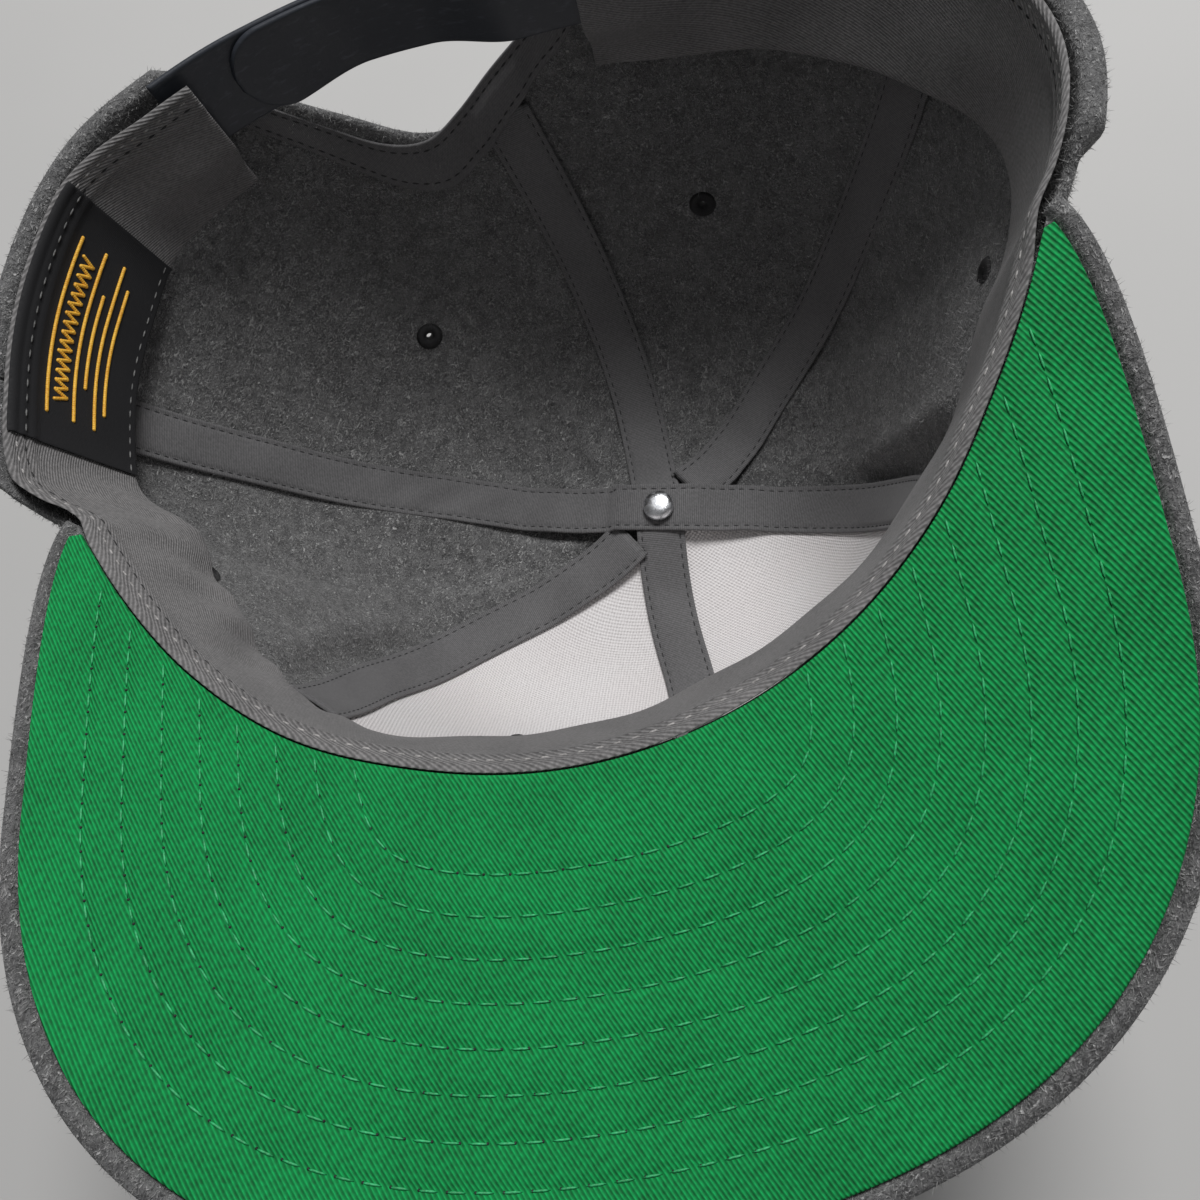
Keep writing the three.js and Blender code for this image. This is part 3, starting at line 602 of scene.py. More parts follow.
def stiff_weave():
    """Off-white plain weave whose crossings stand up as rows of small lumps."""
    finish = Finish("buckram_weave", roughness=0.85, sheen_weight=0.1)
    coords = finish.cloth(38)
    lumps = []
    for shift in (0, np.pi):
        warp = finish.wave(coords, 0, buckram_pitch, shift)
        lumps.append(finish.math("MULTIPLY", warp, finish.wave(coords, 1, buckram_pitch * 0.8, shift)))
    weave = finish.math("POWER", finish.math("ADD", *lumps), 0.8)
    grain = finish.ramp(finish.noise(coords, 0.6, 3), 0.3, 0.7)
    shade = finish.math("MULTIPLY_ADD", grain, 0.25, finish.math("MULTIPLY", weave, 0.75))
    warm = finish.ramp(finish.noise(coords, 30, 2), 0.35, 0.65)
    light = finish.blend(warm, (0.92, 0.9, 0.9), (0.9, 0.865, 0.86))
    finish.colour(finish.blend(shade, (0.56, 0.53, 0.53), light))
    finish.relief(finish.math("MULTIPLY_ADD", grain, 0.2, weave), 0.22)
    return finish.material


def yarn(name, dark, light, twist=0.45, **sockets):
    """Sewing or embroidery thread: fine plies with a soft shine."""
    finish = Finish(name, **sockets)
    coords = finish.add("ShaderNodeTexCoord").outputs["Object"]
    fibre = finish.noise(coords, twist, 3)
    slow = finish.noise(coords, 6, 1)
    plies = finish.ramp(fibre, 0.3, 0.7, 0, 0.7)
    shade = finish.math("MULTIPLY_ADD", finish.ramp(slow, 0.3, 0.7), 0.3, plies)
    finish.colour(finish.blend(shade, dark, light))
    finish.relief(fibre, 0.08)
    return finish.material


def moulded():
    """Dark moulded plastic with a faint grain and worn, lighter scuffs."""
    finish = Finish("strap_plastic", specular_ior_level=0.45)
    coords = finish.add("ShaderNodeTexCoord").outputs["Object"]
    grain = finish.noise(coords, 0.5, 3)
    scuff = finish.ramp(finish.noise(coords, 3.5, 5, (1, 1, 3)), 0.55, 0.75)
    finish.colour(finish.blend(scuff, (0.03, 0.034, 0.043), (0.06, 0.066, 0.08)))
    finish.rough(finish.ramp(grain, 0.2, 0.8, 0.34, 0.52))
    finish.relief(grain, 0.03)
    return finish.material


def polished():
    """Silver rivet with fine turning marks and small dull spots."""
    finish = Finish("rivet_silver", metallic=1.0)
    coords = finish.add("ShaderNodeTexCoord").outputs["Object"]
    spots = finish.ramp(finish.noise(coords, 1.6, 4), 0.45, 0.7)
    marks = finish.noise(coords, 0.25, 2, (1, 4, 1))
    finish.colour(finish.blend(spots, (0.82, 0.83, 0.85), (0.5, 0.51, 0.53)))
    finish.rough(finish.ramp(spots, 0, 1, 0.26, 0.5))
    finish.relief(marks, 0.02)
    return finish.material


def paper():
    """Plain pale floor."""
    finish = Finish("floor", roughness=0.9)
    coords = finish.add("ShaderNodeTexCoord").outputs["Object"]
    slow = finish.noise(coords, 90, 2)
    finish.colour(finish.blend(slow, (0.55, 0.545, 0.535), (0.59, 0.583, 0.573)))
    return finish.material


wool = heather("wool", (0.03, 0.03, 0.031), (0.15, 0.149, 0.15), (0.58, 0.575, 0.57),
               roughness=0.95, sheen_weight=0.25, sheen_roughness=0.5)
green = twill("green_twill", green_rib_pitch, 0, (0.001, 0.085, 0.02), (0.008, 0.44, 0.11), 0.18,
              cross=0.5, wobble=0.16, specular_ior_level=0.3)
tape = twill("tape_twill", tape_rib_pitch, 90, (0.055, 0.054, 0.055), (0.19, 0.186, 0.19), 0.05,
             sheen_weight=0.1)
band = twill("band_twill", band_rib_pitch, 108, (0.06, 0.058, 0.058), (0.29, 0.28, 0.28), 0.14,
             sheen_weight=0.12)
label_cloth = twill("label_satin", 0.3, 0, (0.004, 0.004, 0.005), (0.016, 0.016, 0.018), 0.03)
buckram = stiff_weave()
plastic = moulded()
silver = polished()
dark_thread = yarn("dark_thread", (0.008, 0.008, 0.009), (0.03, 0.029, 0.03), roughness=0.7)
dull_thread = yarn("dull_thread", (0.05, 0.05, 0.05), (0.2, 0.198, 0.195), roughness=0.7)
grey_thread = yarn("grey_thread", (0.16, 0.155, 0.15), (0.5, 0.48, 0.47), roughness=0.6)
wool_thread = yarn("outer_thread", (0.03, 0.03, 0.031), (0.1, 0.1, 0.1), roughness=0.7)
green_thread = yarn("green_thread", (0.006, 0.22, 0.06), (0.04, 0.52, 0.19), roughness=0.5)
gold_thread = yarn("gold_thread", (0.72, 0.32, 0.02), (1.0, 0.6, 0.07), roughness=0.45)
wool_fibre = yarn("wool_fibre", (0.05, 0.05, 0.05), (0.5, 0.495, 0.49), twist=1.2, roughness=0.9)


def finished(piece, slot, *nodes):
    """Rides the piece on the cap's one body and hides the CAD nodes it stands for; the slot is not used.
    """
    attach(piece, "root")
    if nodes:
        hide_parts(*nodes)
    return piece


# Geometry Nodes
class Grower(NodeLayer):
    """A Geometry Nodes tree with named inputs, and short ways to lay its nodes."""

    def __init__(self, name, *sizes):
        self.tree = bpy.data.node_groups.new(name, "GeometryNodeTree")
        face = self.tree.interface
        face.new_socket("Geometry", in_out="INPUT", socket_type="NodeSocketGeometry")
        self.keys = {}
        for size in sizes:
            kind = "NodeSocketInt" if size == "seed" else "NodeSocketFloat"
            self.keys[size] = face.new_socket(size, in_out="INPUT", socket_type=kind).identifier
        finish = face.new_socket("finish", in_out="INPUT", socket_type="NodeSocketMaterial")
        self.keys["finish"] = finish.identifier
        face.new_socket("Geometry", in_out="OUTPUT", socket_type="NodeSocketGeometry")
        self.given = self.tree.nodes.new("NodeGroupInput").outputs

    def end(self, instances, smooth):
        """Every tree ends in Realize Instances and Set Material."""
        real = self.add("GeometryNodeRealizeInstances", {"Geometry": instances})
        shaded = self.add(
            "GeometryNodeSetShadeSmooth", {"Geometry": real.outputs[0], "Shade Smooth": smooth})
        coloured = self.add(
            "GeometryNodeSetMaterial", {"Geometry": shaded.outputs[0], "Material": self.given["finish"]})
        result = self.tree.nodes.new("NodeGroupOutput")
        self.tree.links.new(coloured.outputs[0], result.inputs[0])

    def grow(self, source, name, finish, **sizes):
        """Runs the tree on the source and leaves a plain mesh in its place."""
        modifier = source.modifiers.new("grow", "NODES")
        modifier.node_group = self.tree
        for size, value in sizes.items():
            modifier[self.keys[size]] = value
        modifier[self.keys["finish"]] = finish
        return evaluated(source, name)


def stitch_tree():
    """Thread floats laid end to end along every line of the source."""
    grower = Grower("stitches", "pitch", "length", "width")
    given = grower.given
    line = grower.add("GeometryNodeMeshToCurve", {"Mesh": given["Geometry"]})
    even = grower.add(
        "GeometryNodeResampleCurve", {"Curve": line.outputs[0], "Length": given["pitch"]}, mode="LENGTH")
    ahead = grower.add("GeometryNodeInputTangent")
    turn = grower.add("FunctionNodeAlignRotationToVector", {"Vector": ahead.outputs[0]}, axis="X")
    float_shape = grower.add("GeometryNodeMeshUVSphere", {"Segments": 6, "Rings": 5, "Radius": 0.5})
    size = grower.add("ShaderNodeCombineXYZ", {0: given["length"], 1: given["width"], 2: given["width"]})
    floats = grower.add("GeometryNodeInstanceOnPoints", {
        "Points": even.outputs[0],
        "Instance": float_shape.outputs[0],
        "Rotation": turn.outputs[0],
        "Scale": size.outputs[0],
    })
    grower.end(floats.outputs[0], True)
    return grower


def nap_tree():
    """Short loose fibres scattered over the cloth, each leaning its own way."""
    grower = Grower("nap", "density", "length", "width", "lean", "seed")
    given = grower.given
    spots = grower.add("GeometryNodeDistributePointsOnFaces", {
        "Mesh": given["Geometry"], "Density": given["density"], "Seed": given["seed"]})
    any_way = grower.add(
        "FunctionNodeRandomValue", {0: (-1, -1, -1), 1: (1, 1, 1), "Seed": given["seed"]},
        data_type="FLOAT_VECTOR")
    leaned = grower.add(
        "ShaderNodeVectorMath", {0: any_way.outputs[0], "Scale": given["lean"]}, operation="SCALE")
    aimed = grower.add(
        "ShaderNodeVectorMath", {0: spots.outputs["Normal"], 1: leaned.outputs[0]}, operation="ADD")
    turn = grower.add("FunctionNodeAlignRotationToVector", {"Vector": aimed.outputs[0]}, axis="Z")
    fibre = grower.add("GeometryNodeMeshCone", {
        "Vertices": 3, "Side Segments": 1, "Radius Top": 0.0, "Radius Bottom": 0.5, "Depth": 1.0})
    grown = grower.add(
        "FunctionNodeRandomValue", {2: 0.35, 3: 1.0, "Seed": given["seed"]}, data_type="FLOAT")
    tall = grower.add("ShaderNodeMath", {0: grown.outputs[1], 1: given["length"]}, operation="MULTIPLY")
    size = grower.add("ShaderNodeCombineXYZ", {0: given["width"], 1: given["width"], 2: tall.outputs[0]})
    fibres = grower.add("GeometryNodeInstanceOnPoints", {
        "Points": spots.outputs[0],
        "Instance": fibre.outputs[0],
        "Rotation": turn.outputs[0],
        "Scale": size.outputs[0],
    })
    grower.end(fibres.outputs[0], False)
    return grower


STITCHES = stitch_tree()
NAP = nap_tree()


def stitches(name, lines, slot, finish, pitch, length, width):
    """Thread floats along some lines of points, in millimetres."""
    points = np.concatenate(lines)
    ends = np.cumsum([len(line) for line in lines])
    edges = [(i, i + 1) for i in range(len(points) - 1) if i + 1 not in ends]
    mesh = bpy.data.meshes.new(name)
    mesh.from_pydata(place(points).tolist(), edges, [])
    made = STITCHES.grow(
        linked(name + "_lines", mesh), name, finish,
        pitch=pitch * 0.001, length=length * 0.001, width=width * 0.001)
    return finished(made, slot)


# Wool panels and their buckram
def panel_grid(panel, inset, drop, edge, rim_edge, columns, rows):
    """Azimuth, way, share and fullness over a panel, with its cloth coordinates in millimetres."""
    probe = np.linspace(0, 1, 13)
    middle_start = panel_start(panel_azimuth(panel, 0.5, 0))
    middle_way = mix(middle_start, panel_end, np.linspace(0, 1, 40))
    length = path_length(crown_point(panel_azimuth(panel, 0.5, middle_way), middle_way))
    down, full_down = stations(length, rim_edge, edge, rows)
    way_of_row = mix(middle_start, panel_end, down / length)[:, None]
    chords = crown_point(panel_azimuth(panel, probe, way_of_row), way_of_row)
    width = np.linalg.norm(np.diff(chords, axis=1), axis=-1).sum(1)
    across, full_across = stations(width - 2 * inset, edge, edge, columns)
    share = (across + inset) / width[:, None]
    rim_azimuth = panel_azimuth(panel, share, 0)
    start = panel_start(rim_azimuth)
    if drop:
        start = start + way_at_depth(rim_azimuth, drop)
    way = start + (panel_end - start) * (down / length)[:, None]
    azimuth = panel_azimuth(panel, share, way)
    uv = np.stack([across - width[:, None] / 2 + 200 * PANELS.index(panel), length * way], -1)
    return azimuth, way, share, start, full_down[:, None] * full_across, uv


def wool_depth(panel, share, start, way, azimuth):
    """The wool is turned in and doubled at the rim."""
    rim_azimuth = panel_azimuth(panel, share, 0)
    fallen = crown_point(rim_azimuth, start)[..., 2] - crown_point(azimuth, way)[..., 2]
    turned_in = np.where(start > 0.001, 0, 1 - smoothstep(hem_depth * 0.4, hem_depth, fallen))
    return mix(wool_thickness, hem_thickness, turned_in)


def eyelet_place(panel):
    share, way = panel["eyelet"]
    azimuth = panel_azimuth(panel, share, way)
    depth = sag(panel, np.array(share), way)
    return crown_at(azimuth, np.array(way), depth), crown_normal(azimuth, np.array(way))


def eyelet_cutter(panel):
    point, normal = eyelet_place(panel)
    radius = eyelet_hole + 0.75
    profile = [(0, -7), (radius, -7), (radius, 7), (0, 7)]
    return lathe("cutter", profile, point, normal, dark_thread, 24)


def wool_panel(panel):
    azimuth, way, share, start, full, uv = panel_grid(panel, -seam_tuck, 0, 1, 2.2, 46, 80)
    wave = sag(panel, share, way) + ripples(panel, azimuth, way)
    depth = wool_depth(panel, share, start, way, azimuth)
    near = crown_at(azimuth, way, wave - depth / 2 + full * depth / 2)
    far = crown_at(azimuth, way, wave - depth / 2 - full * depth / 2)
    name = "panel_" + panel["name"]
    piece = cut(shell("wool_" + name, near, far, uv, wool), eyelet_cutter(panel))
    return finished(piece, "wool", name)


def buckram_panel(panel):
    azimuth, way, _, _, full, uv = panel_grid(panel, 1, liner_drop, 0.5, 0.5, 36, 60)
    middle = cloth_gap + buckram_thickness / 2
    near = crown_at(azimuth, way, middle + full * buckram_thickness / 2)
    far = crown_at(azimuth, way, middle - full * buckram_thickness / 2)
    side = panel["name"].replace("front_", "")
    piece = cut(shell("buckram_lining_" + side, near, far, uv, buckram), eyelet_cutter(panel))
    return finished(piece, "buckram", "buckram_" + side)


def eyelet(panel):
    """Embroidered eyelet: a ring of satin stitches on each face, joined through the cloth."""
    point, normal = eyelet_place(panel)
    inside = (cloth_gap + buckram_thickness if panel.get("lined") else 0) + 0.1
    outside = -wool_thickness - 0.1
    barrel = eyelet_hole + 0.65
    ring = [(0, 0.25), (0.1, 0.6), (0.45, 0.92), (0.75, 0.7), (1, 0.1)]
    reach = eyelet_radius - eyelet_hole
    profile = [(eyelet_hole + r * reach, inside + h) for r, h in ring]
    profile += [(barrel, inside - 0.1), (barrel, outside + 0.1)]
    profile += [(eyelet_hole + r * reach, outside - h) for r, h in reversed(ring)]
    piece = lathe("eyelet_ring_" + panel["name"], profile, point, normal, dark_thread, 216,
                  lambda angle: 1 + 0.09 * np.cos(36 * angle))
    return finished(piece, "thread", "eyelet_" + panel["name"])


# Seam tapes
tape_step = tape_thickness + cloth_gap
tape_start = 0.2
tape_end = 0.98
tape_step_back = 0.025
cross_tape_end = 0.955


def seam_line(seam, start, end, lined, steps, count):
    """Points and normals down the middle of a tape's underside."""
    way = np.linspace(start, end, count)
    azimuth = seam_azimuth(seam, way)
    base = 0.45 + (buckram_thickness + cloth_gap if lined else 0)
    level = base + steps * tape_step * smoothstep(0.8, 0.88, way)
    return crown_at(azimuth, way, level), crown_normal(azimuth, np.minimum(way, 0.97))


def tape_height(across):
    """Top of the tape: raised along the middle, drawn down along its two rows of stitches."""
    rows = dip(across, seam_stitch_inset, 0.32) + dip(across, tape_width - seam_stitch_inset, 0.32)
    return tape_thickness + 0.3 * np.sin(np.pi * across / tape_width) - 0.3 * rows


def seam_tape(name, points, normals, creases=None):
    tangent = np.gradient(points, axis=0)
    side = np.cross(tangent, normals)
    side /= np.linalg.norm(side, axis=-1, keepdims=True)
    across, full = stations(tape_width, 0.4, 0.4, 27)
    ends = np.ones(len(points))
    ends[[0, -1]] = 0
    full = ends[:, None] * full
    travelled = np.concatenate([[0], np.cumsum(np.linalg.norm(np.diff(points, axis=0), axis=-1))])
    top = np.tile(tape_height(across), (len(points), 1))
    lifted = np.zeros_like(top) if creases is None else creases(travelled[:, None], across[None, :])
    middle = top / 2
    spread = points[:, None] + side[:, None] * (across - tape_width / 2)[None, :, None]
    near = spread + normals[:, None] * (lifted + middle - full * middle)[..., None]
    far = spread + normals[:, None] * (lifted + middle + full * middle)[..., None]
    uv = np.stack(np.broadcast_arrays(across[None, :], travelled[:, None]), -1)
    finished(shell("seam_" + name, near, far, uv, tape), "tape", name)
    lines = []
    for inset in (seam_stitch_inset, tape_width - seam_stitch_inset):
        column = np.abs(across - inset).argmin()
        lines.append(far[2:-2, column] - normals[2:-2] * 0.02)
    return lines


def cross_creases(travelled, across):
    """Creases in the crossing tape where it nears the button from the left rear."""
    near_button = dip(travelled, 96, 20)
    folds = np.sin(travelled / 2.4 + across / 2.1) + 0.6 * np.sin(travelled / 1.3 - across / 3.2 + 1)
    return 0.42 * near_button * folds * np.sin(np.pi * np.clip(across / tape_width, 0, 1))


def build_tapes():
    lines = []
    for name, seam, start, lined, steps in (
        ("tape_front_centre", "front_centre", tape_start, True, 0),
        ("tape_front_left", "left_front", tape_start, True, 1),
        ("tape_back_centre", "back_centre", 0.25, False, 0),
        ("tape_rear_right", "right_rear", tape_start, False, 1),
    ):
        end = tape_end - tape_step_back * steps
        lines += seam_tape(name, *seam_line(seam, start, end, lined, steps, 90))
    near, near_normal = seam_line("left_rear", tape_start, cross_tape_end, False, 2, 110)
    far, far_normal = seam_line("right_front", tape_start, cross_tape_end, True, 2, 110)
    level = max(near[-1, 2], far[-1, 2])
    near[-1, 2] = far[-1, 2] = level
    points = np.concatenate([near, far[::-1]])
    normals = np.concatenate([near_normal, far_normal[::-1]])
    lines += seam_tape("tape_cross", points, normals, cross_creases)
    stitches("tape_stitches", lines, "thread", dark_thread, seam_stitch_pitch, seam_float, thread_width)


# Sweatband and its label
strap_outer = 3 * cloth_gap + tape_thickness + 0.3
strap_inner = strap_outer + strap_thickness + cloth_gap
band_from = arch_azimuth["left"] - 0.5
band_to = arch_azimuth["right"] + 360 + 2
BAND_ROWS = {"light": 0.075, "dark": 0.13}


def band_relief(azimuth, v):
    """Welts between the rows of stitches, soft waves, and gathers at the left of the brim."""
    welts = 0.6 * dip(v, 0.035, 0.03) + 0.6 * dip(v, 0.102, 0.022) + 0.5 * dip(v, 0.17, 0.035)
    waves = 0.3 * np.sin(np.radians(azimuth) * 7 + 2 * v) + 0.22 * np.sin(np.radians(azimuth) * 19 + 1)
    gathered = smoothstep(176, 186, azimuth) * (1 - smoothstep(222, 238, azimuth))
    folds = np.sin(np.radians(azimuth) * 27 + 6 * v) + 0.6 * np.sin(np.radians(azimuth) * 49 - 7 * v)
    free = smoothstep(0.2, 0.9, v)
    return welts + free * (waves + 0.5 * gathered * folds)


def band_point(azimuth, v, level):
    top = crown_point(azimuth, 0)
    at_arch = np.maximum(
        1 - smoothstep(band_from + 6, band_from + 20, azimuth),
        smoothstep(band_to - 20, band_to - 6, azimuth))
    beside_strap = at_arch * (1 - 0.75 * smoothstep(0.55, 0.85, v))
    stand = 3 * cloth_gap + beside_strap * (strap_inner + strap_thickness)
    at_brim = smoothstep(188, 196, azimuth) * (1 - smoothstep(342, 350, azimuth))
    lean = along(LEAN, "azimuth", "lean", azimuth) * sweatband_width
    fall = np.sqrt(sweatband_width**2 - lean**2)
    turn = np.radians(azimuth)
    flare = band_flare * at_brim * (1 - smoothstep(0, 0.12, v))
    into = stand + level + lean * v + band_relief(azimuth, v) - flare
    return np.stack([
        top[..., 0] - into * np.cos(turn),
        top[..., 1] - into * np.sin(turn),
        top[..., 2] - 0.3 - fall * v,
    ], -1)


def band_shell(name, from_azimuth, to_azimuth, from_v, to_v, level, thickness, columns, rows, finish):
    rim = crown_point(np.linspace(from_azimuth, to_azimuth, 200), 0)
    length = path_length(rim)
    across, full_across = stations(length, thickness, thickness, columns)
    width = sweatband_width * (to_v - from_v)
    down, full_down = stations(width, thickness, thickness, rows)
    azimuth = mix(from_azimuth, to_azimuth, across / length)[None, :] + np.zeros((len(down), 1))
    v = mix(from_v, to_v, down / width)[:, None] + np.zeros((1, len(across)))
    full = full_down[:, None] * full_across
    near = band_point(azimuth, v, level + thickness / 2 * (1 - full))
    far = band_point(azimuth, v, level + thickness / 2 * (1 + full))
    uv = np.stack(np.broadcast_arrays(across[None, :], down[:, None]), -1)
    return shell(name, near, far, uv, finish)


def build_sweatband():
    piece = band_shell(
        "sweatband_cloth", band_from, band_to, 0, 1, 0, sweatband_thickness, 620, 38, band)
    finished(piece, "sweatband", "sweatband")
    azimuth = np.linspace(band_from + 2, band_to - 2, 900)
    for shade, finish in (("light", grey_thread), ("dark", dark_thread)):
        line = band_point(azimuth, np.full_like(azimuth, BAND_ROWS[shade]), sweatband_thickness)
        stitches("band_stitches_" + shade, [line], "thread", finish,
                 band_stitch_pitch, seam_float, band_thread_width)


label_middle = 162
label_half = np.degrees(label_length / 2 / rim_reach)
label_level = sweatband_thickness + 0.25
GOLD_LINES = (0.27, 0.47, 0.63)
ZIGZAG_PEAKS = 15


def label_line(share, v):
    """Points on the label's face: share runs along it and v across the band."""
    share, v = np.broadcast_arrays(np.asarray(share, float), np.asarray(v, float))
    azimuth = mix(label_middle - label_half, label_middle + label_half, share)
    return band_point(azimuth, v, label_level + label_thickness)


def build_label():
    piece = band_shell("label_cloth", label_middle - label_half, label_middle + label_half,
                       0, 0.985, label_level, label_thickness, 90, 44, label_cloth)
    finished(piece, "label", "label")
    run = np.linspace(0.14, 0.86, 160)
    gold = [label_line(run, v) for v in GOLD_LINES]
    corner = np.arange(2 * ZIGZAG_PEAKS + 1)
    zigzag = np.linspace(0.2, 0.8, len(corner))
    peak = np.where(corner % 2 == 0, 0.325, 0.415)
    fine = np.linspace(0, corner[-1], 400)
    gold.append(label_line(np.interp(fine, corner, zigzag), np.interp(fine, corner, peak)))
    for start, end, v, count in ((0.3, 0.7, 0.55, 90), (0.22, 0.78, 0.71, 120)):
        gold.append(label_line(np.linspace(start, end, count), v))
    stitches("label_gold", gold, "label", gold_thread, pitch=0.42, length=0.95, width=0.85)
    edge = np.linspace(0.03, 0.97, 120)
    sewn = [label_line(edge, v) for v in (0.11, 0.93)]
    stitches("label_stitches", sewn, "thread", dull_thread, pitch=3.1, length=1.9, width=0.4)


# Brim
brim_corner = (0.945, -0.405)
widest = (brim_half_width, -0.997 * brim_half_width)
tip_y = rim_centre_y - 0.815 * rim_reach - brim_reach
CORNER_CURVE = np.array([
    (brim_corner[0] * brim_half_width, brim_corner[1] * brim_half_width),
    ((brim_corner[0] + 0.065) * brim_half_width, (brim_corner[1] - 0.086) * brim_half_width),
    (widest[0], widest[1] + 0.16 * brim_half_width),
    widest,
])
FRONT_CURVE = np.array([
    widest,
    (widest[0], mix(widest[1], tip_y, 0.64)),
    (0.64 * widest[0], tip_y),
    (0, tip_y),
])
green_span = 0.98
rib_angle = np.radians(-64.3)
rib_fan = np.radians(0.028)

# Rough lengths of half the outline and from joint to tip, for the rounded borders of the cloths
brim_run = 200
brim_span = 100


def bezier(curve, t):
    t = t[..., None]
    a, b, c, d = curve
    point = (1 - t) ** 3 * a + 3 * (1 - t) ** 2 * t * b + 3 * (1 - t) * t**2 * c + t**3 * d
    ahead = (1 - t) ** 2 * (b - a) + 2 * (1 - t) * t * (c - b) + t**2 * (d - c)
    return point, ahead / np.linalg.norm(ahead, axis=-1, keepdims=True)


def outline_point(t, beyond):
    """Brim outline: t runs from -1 at the left corner through 0 at the tip to 1 at the right."""
    share = 1 - np.abs(t)
    near_corner = (share < 0.25)[..., None]
    corner, corner_ahead = bezier(CORNER_CURVE, np.clip(share / 0.25, 0, 1))
    front, front_ahead = bezier(FRONT_CURVE, np.clip((share - 0.25) / 0.75, 0, 1))
    point = np.where(near_corner, corner, front)
    ahead = np.where(near_corner, corner_ahead, front_ahead)
    side = np.where(t < 0, -1, 1)
    x = (point[..., 0] - ahead[..., 1] * beyond) * side
    return np.stack([x, point[..., 1] + ahead[..., 0] * beyond], -1)


def joint_point(t, beyond):
    """Inner edge of the brim: the joint line round the front of the rim."""
    middle = (brim_azimuth["left"] + brim_azimuth["right"]) / 2
    turn = np.radians(middle + (brim_azimuth["right"] - middle) * t)
    rim = crown_point(np.degrees(turn), 0)[..., :2]
    return rim + np.stack([np.cos(turn), np.sin(turn)], -1) * np.asarray(beyond, float)[..., None]


def brim_point(t, across, inner, outer, height):
    plan = mix(joint_point(t, inner), outline_point(t, outer), across[..., None])
    z = crown_depth + lift(plan[..., 0], plan[..., 1]) + height
    return np.concatenate([plan, z[..., None]], -1)


OUTLINE = outline_point(np.linspace(-1, 1, 1200), 0.0)


def outline_distance(plan):
    flat = plan.reshape(-1, 2)
    nearest = [
        np.sqrt(((flat[i:i + 2000, None] - OUTLINE) ** 2).sum(-1).min(1))
        for i in range(0, len(flat), 2000)]
    return np.concatenate(nearest).reshape(plan.shape[:-1])


def rib_coordinates(plan):
    """Cloth coordinates of the green twill: its ribs run straight across the brim, hardly fanned."""
    turn = rib_angle + rib_fan * plan[..., 0]
    steady = np.cos(rib_angle)
    across = steady * (plan[..., 1] + np.log(np.cos(turn)) / rib_fan)
    length = plan[..., 0] * steady + plan[..., 1] * np.sin(rib_angle)
    return np.stack([across, length], -1)


def row_distances():
    return brim_stitch_first + brim_stitch_spacing * np.arange(brim_stitch_rows)


def build_under_brim():
    t, full_t = stations(2 * green_span * brim_run, 0.5, 0.5, 260)
    t = t / brim_run - green_span
    down, full_down = stations(brim_span, 0.9, 0.9, 90)
    t = t[None, :] + np.zeros((len(down), 1))
    across = (down / brim_span)[:, None] + np.zeros_like(t)
    full = full_down[:, None] * full_t
    inner = np.full_like(t, cloth_gap / 2)
    flat = brim_point(t, across, inner, -3 * cloth_gap, 0)
    plan = flat[..., :2]
    away = outline_distance(plan)
    valley = sum(dip(away, d, 0.75) for d in row_distances())
    quilt = 0.28 * valley * smoothstep(3, 9, away)
    half = under_brim_thickness / 2
    near = flat.copy()
    near[..., 2] += -half + full * (half - quilt)
    far = flat.copy()
    far[..., 2] -= half * (1 + full)
    piece = shell("green_under_brim", near, far, rib_coordinates(plan), green)
    finished(piece, "green_twill", "under_brim")


def brim_rows(distances, keep_off):
    """Lines on the brim at some distances inside its outline, ended at the joint line."""
    lines = []
    t = np.linspace(-1, 1, 1600)
    for d in distances:
        plan = outline_point(t, -d)
        reach = np.hypot(plan[:, 0], plan[:, 1] - rim_centre_y)
        azimuth = np.degrees(np.arctan2(plan[:, 1] - rim_centre_y, plan[:, 0]))
        rim = rim_reach * along(RIM_RING, "azimuth", "reach", wrap(azimuth))
        inside = (reach > rim + keep_off) & (outline_distance(plan) > d - 0.4) & (azimuth < 0)
        plan = plan[inside]
        z = crown_depth + lift(plan[:, 0], plan[:, 1])
        lines.append(np.column_stack([plan, z]))
    return lines


def build_brim_stitches():
    lines = brim_rows(row_distances(), 2.5)
    raised = [line + (0, 0, -0.1) for line in lines]
    stitches("brim_stitches", raised, "green_twill", green_thread,
             brim_stitch_pitch, brim_float, thread_width)
    # Dark dots sunk between the green floats: painted shade in the needle holes
    holes = [line[7:] + (0, 0, -0.22) for line in lines]
    stitches("brim_needle_hole_shade", holes, "thread", dark_thread,
             brim_stitch_pitch, needle_hole_shade_size, needle_hole_shade_size)
    below = [line + (0, 0, -brim_thickness - 0.02) for line in lines]
    stitches("brim_stitches_below", below, "wool", wool_thread,
             brim_stitch_pitch, brim_float, thread_width)


